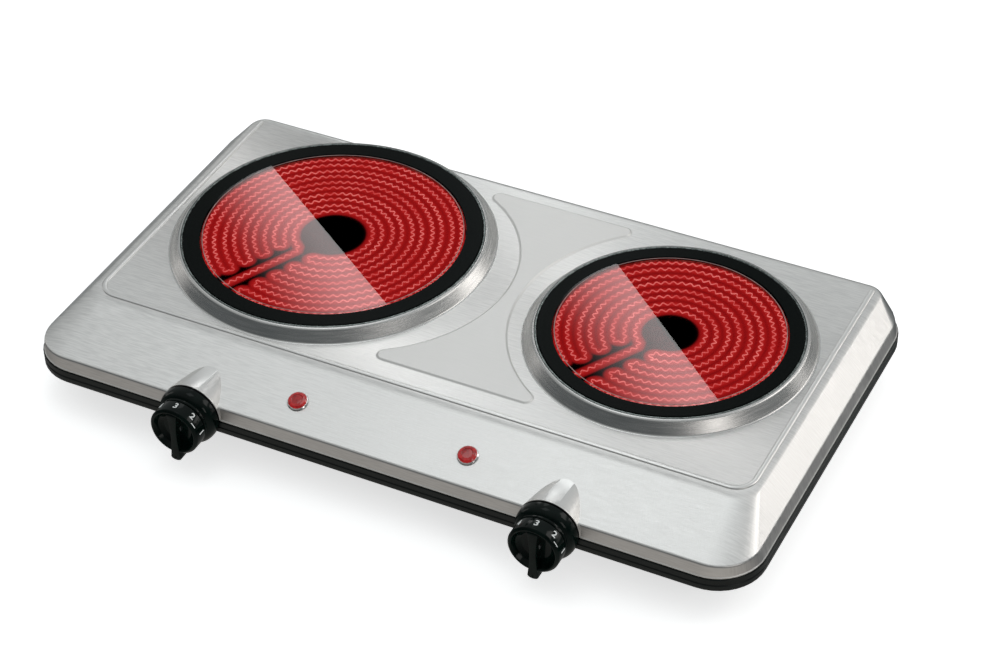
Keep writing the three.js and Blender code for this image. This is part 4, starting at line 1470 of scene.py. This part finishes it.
CAMERA_AT = Vector((0.6224, -1.1589, 1.1116))
CAMERA_YAW, CAMERA_PITCH, CAMERA_ROLL = radians(27.18), radians(39.17), radians(-1.33)
CAMERA_LENS = 95.19                      # millimetres, on a sensor 36 mm wide


def camera_axes():
    """The camera's own X, Y and Z in the scene."""
    back = Vector((
        sin(CAMERA_YAW) * cos(CAMERA_PITCH), -cos(CAMERA_YAW) * cos(CAMERA_PITCH), sin(CAMERA_PITCH),
    ))
    right = Vector((0, 0, 1)).cross(back).normalized()
    up = back.cross(right)
    tilt = Matrix.Rotation(CAMERA_ROLL, 3, back)
    return tilt @ right, tilt @ up, back


def mirrored(point, distance):
    """Where the camera's ray to a point on the glass goes after that distance, mirrored by the glass."""
    behind = Vector((CAMERA_AT.x, CAMERA_AT.y, 2 * GLASS_TOP - CAMERA_AT.z))
    return point + (point - behind).normalized() * distance


def card(name, corners, shine, strength):
    """A flat studio card that only the polished glass shows, as bright at each corner as its shine."""
    bm = bmesh.new()
    bm.faces.new([bm.verts.new(p) for p in corners])
    bmesh.ops.subdivide_edges(bm, edges=bm.edges, cuts=8, use_grid_fill=True)
    made, tree, shader = material(name, Base_Color=(0, 0, 0, 1), Roughness=1, Specular_IOR_Level=0)
    fade = add(tree, "ShaderNodeAttribute", attribute_name=SHINE_LAYER).outputs["Fac"]
    smooth = add(tree, "ShaderNodeMapRange", {"Value": fade}, interpolation_type="SMOOTHSTEP").outputs[0]
    shader.inputs["Emission Color"].default_value = (1, 1, 1, 1)
    tree.links.new(calc(tree, "MULTIPLY", smooth, strength), shader.inputs["Emission Strength"])
    layer = bm.verts.layers.float.new(SHINE_LAYER)
    near, far = (corners[0] + corners[1]) / 2, (corners[2] + corners[3]) / 2
    for v in bm.verts:
        along = (v.co - near).dot(far - near) / (far - near).length_squared
        v[layer] = shine * (1 - along)
    piece = object_of(name, bm)
    piece.data.materials.append(made)
    for rays in ("camera", "diffuse", "shadow"):
        setattr(piece, f"visible_{rays}", False)


COOL, WARM = (0.95, 0.99, 1.0), (1.0, 0.965, 0.935)


def softbox(name, way, distance, size, brightness, colour):
    """A soft rectangular studio light, out along a direction and turned to the object."""
    light = bpy.data.lights.new(name, "AREA")
    light.shape = "RECTANGLE"
    light.size, light.size_y = size
    light.energy = brightness * pi * size[0] * size[1]
    light.color = colour
    made = bpy.data.objects.new(name, light)
    away = Vector(way).normalized()
    facing = away.to_track_quat("Z", "Y").to_matrix().to_4x4()
    made.matrix_world = Matrix.Translation(away * distance) @ facing
    bpy.context.scene.collection.objects.link(made)


class HOTPLATE_OT_stage(bpy.types.Operator):
    """Set the floor, the surround, the lights and the camera"""

    bl_idname = "hotplate.stage"
    bl_label = "Stage"

    def execute(self, context):
        scene, settings = context.scene, context.scene.hotplate_stage
        right, up, back = camera_axes()
        camera = bpy.data.objects.new("camera", bpy.data.cameras.new("camera"))
        camera.data.lens = CAMERA_LENS
        camera.data.sensor_width = 36
        camera.data.clip_end = 50
        rotation = Matrix((right, up, back)).transposed().to_4x4()
        camera.matrix_world = Matrix.Translation(CAMERA_AT) @ rotation
        scene.collection.objects.link(camera)
        scene.camera = camera
        scene.view_settings.view_transform = "Standard"
        self.surround(scene, settings)
        self.floor(settings)
        self.glass_cards()
        softbox("panel_softbox", (-0.18, 0.10, 0.97), 1.5, (0.6, 0.5), 1.2, COOL)
        softbox("deck_softbox", (-0.33, 0.70, 0.63), 1.6, (0.34, 0.8), 1.15, COOL)
        softbox("corner_softbox", (0.66, 0.42, 0.62), 1.6, (0.6, 0.5), 2.5, WARM)
        softbox("side_softbox", (0.72, 0.66, 0.26), 1.6, (0.5, 0.35), 2.4, WARM)
        softbox("left_strip", (-1.0, 0.05, 0.18), 1.5, (0.3, 0.7), 1.0, WARM)
        softbox("right_strip", (0.80, -0.42, 0.45), 1.5, (0.35, 0.5), 2.4, WARM)
        return {"FINISHED"}

    @staticmethod
    def surround(scene, settings):
        """Studio walls: bright behind and over the object, dark on the camera's side."""
        world = bpy.data.worlds.new("studio")
        world.use_nodes = True
        tree = world.node_tree
        shell = tree.nodes["Background"]
        direction = add(tree, "ShaderNodeTexCoord").outputs["Generated"]
        lit_from = add(tree, "ShaderNodeVectorMath", operation="DOT_PRODUCT")
        tree.links.new(direction, lit_from.inputs[0])
        lit_from.inputs[1].default_value = (-0.1, 0.45, 0.89)
        shade = ramp(tree, calc(tree, "MULTIPLY_ADD", lit_from.outputs["Value"], 0.5, 0.5), [
            (0.05, (0.52, 0.50, 0.47)), (0.3, (0.28, 0.275, 0.27)), (0.5, (0.09, 0.10, 0.105)),
            (0.6, (0.16, 0.175, 0.18)), (0.78, (0.48, 0.5, 0.5)), (1.0, (0.68, 0.71, 0.72)),
        ])
        tree.links.new(shade.outputs[0], shell.inputs["Color"])
        shell.inputs["Strength"].default_value = settings.sky
        scene.world = world

    @staticmethod
    def floor(settings):
        """Pale paper under the object, lit a little from within. The steel doesn't mirror it."""
        bm = bmesh.new()
        bmesh.ops.create_grid(bm, x_segments=1, y_segments=1, size=6)
        colour = (*settings.floor, 1)
        paper, _, shader = material("seamless_paper", Roughness=1, Specular_IOR_Level=0, Base_Color=colour)
        shader.inputs["Emission Color"].default_value = colour
        shader.inputs["Emission Strength"].default_value = 0.72
        piece = object_of("studio_floor", bm)
        piece.data.materials.append(paper)
        piece.visible_glossy = False

    @staticmethod
    def glass_cards():
        """For each burner a bright card and a black one behind it, which its glass mirrors.

        The bright card's edge crosses the glass on a line from the back left to the front right.
        The ends of that line are given in millimetres from the burner's axis.
        """
        distance, fade, sides = 0.45, 64 * MM, 48
        edges = {"large": ((-71.2, 44.8), (68.2, -53.0)), "small": ((-55.3, 44.5), (50.4, -47.9))}
        for size, ends in edges.items():
            place = BURNERS[size]
            centre = Vector((place["at"].x, place["at"].y, GLASS_TOP))
            a, b = (centre + Vector((x * MM, y * MM, 0)) for x, y in ends)
            run = (b - a).normalized()
            out = Vector((run.y, -run.x, 0))
            reach = place["glass"] * GLOW_SHARE
            corners = [a - run * reach * 0.4, b + run * reach * 0.4]
            corners += [corners[1] + out * fade, corners[0] + out * fade]
            card(f"card_{size}", [mirrored(p, distance) for p in corners], 1, 3.2)
            rim = place["glass"] * 1.02
            turns = [2 * pi * i / sides for i in range(sides)]
            disc = [centre + Vector((rim * cos(a), rim * sin(a), 0)) for a in turns]
            card(f"black_card_{size}", [mirrored(p, distance + 0.02) for p in disc], 0, 0)


# ---- Panel and registration ---------------------------------------------

STEPS = (
    HOTPLATE_OT_stage, HOTPLATE_OT_top_housing, HOTPLATE_OT_base_pan, HOTPLATE_OT_heating_ribbons,
    HOTPLATE_OT_glass_plates, HOTPLATE_OT_knobs, HOTPLATE_OT_pilot_lamps, HOTPLATE_OT_feet_and_screws,
    HOTPLATE_OT_cord_gland, HOTPLATE_OT_inner_works,
)
SETTINGS = {
    "hotplate_housing": HousingSettings, "hotplate_element": ElementSettings,
    "hotplate_knob": KnobSettings, "hotplate_stage": StageSettings,
}


class HOTPLATE_PT_build(bpy.types.Panel):
    """The settings and the steps of the build, in the sidebar"""

    bl_idname = "HOTPLATE_PT_build"
    bl_label = "Hot plate"
    bl_space_type = "VIEW_3D"
    bl_region_type = "UI"
    bl_category = "Hot plate"

    def draw(self, context):
        for name, group in SETTINGS.items():
            box = self.layout.box()
            for prop in group.__annotations__:
                box.prop(getattr(context.scene, name), prop)
        for step in STEPS:
            self.layout.operator(step.bl_idname)


def register():
    for cls in (*SETTINGS.values(), *STEPS, HOTPLATE_PT_build):
        bpy.utils.register_class(cls)
    for name, group in SETTINGS.items():
        setattr(bpy.types.Scene, name, PointerProperty(type=group))


def unregister():
    for name in SETTINGS:
        delattr(bpy.types.Scene, name)
    for cls in reversed((*SETTINGS.values(), *STEPS, HOTPLATE_PT_build)):
        bpy.utils.unregister_class(cls)


def main():
    """Build every piece in order."""
    register()
    for step in STEPS:
        group, name = step.bl_idname.split(".")
        getattr(getattr(bpy.ops, group), name)()


if __name__ == "__main__":
    main()
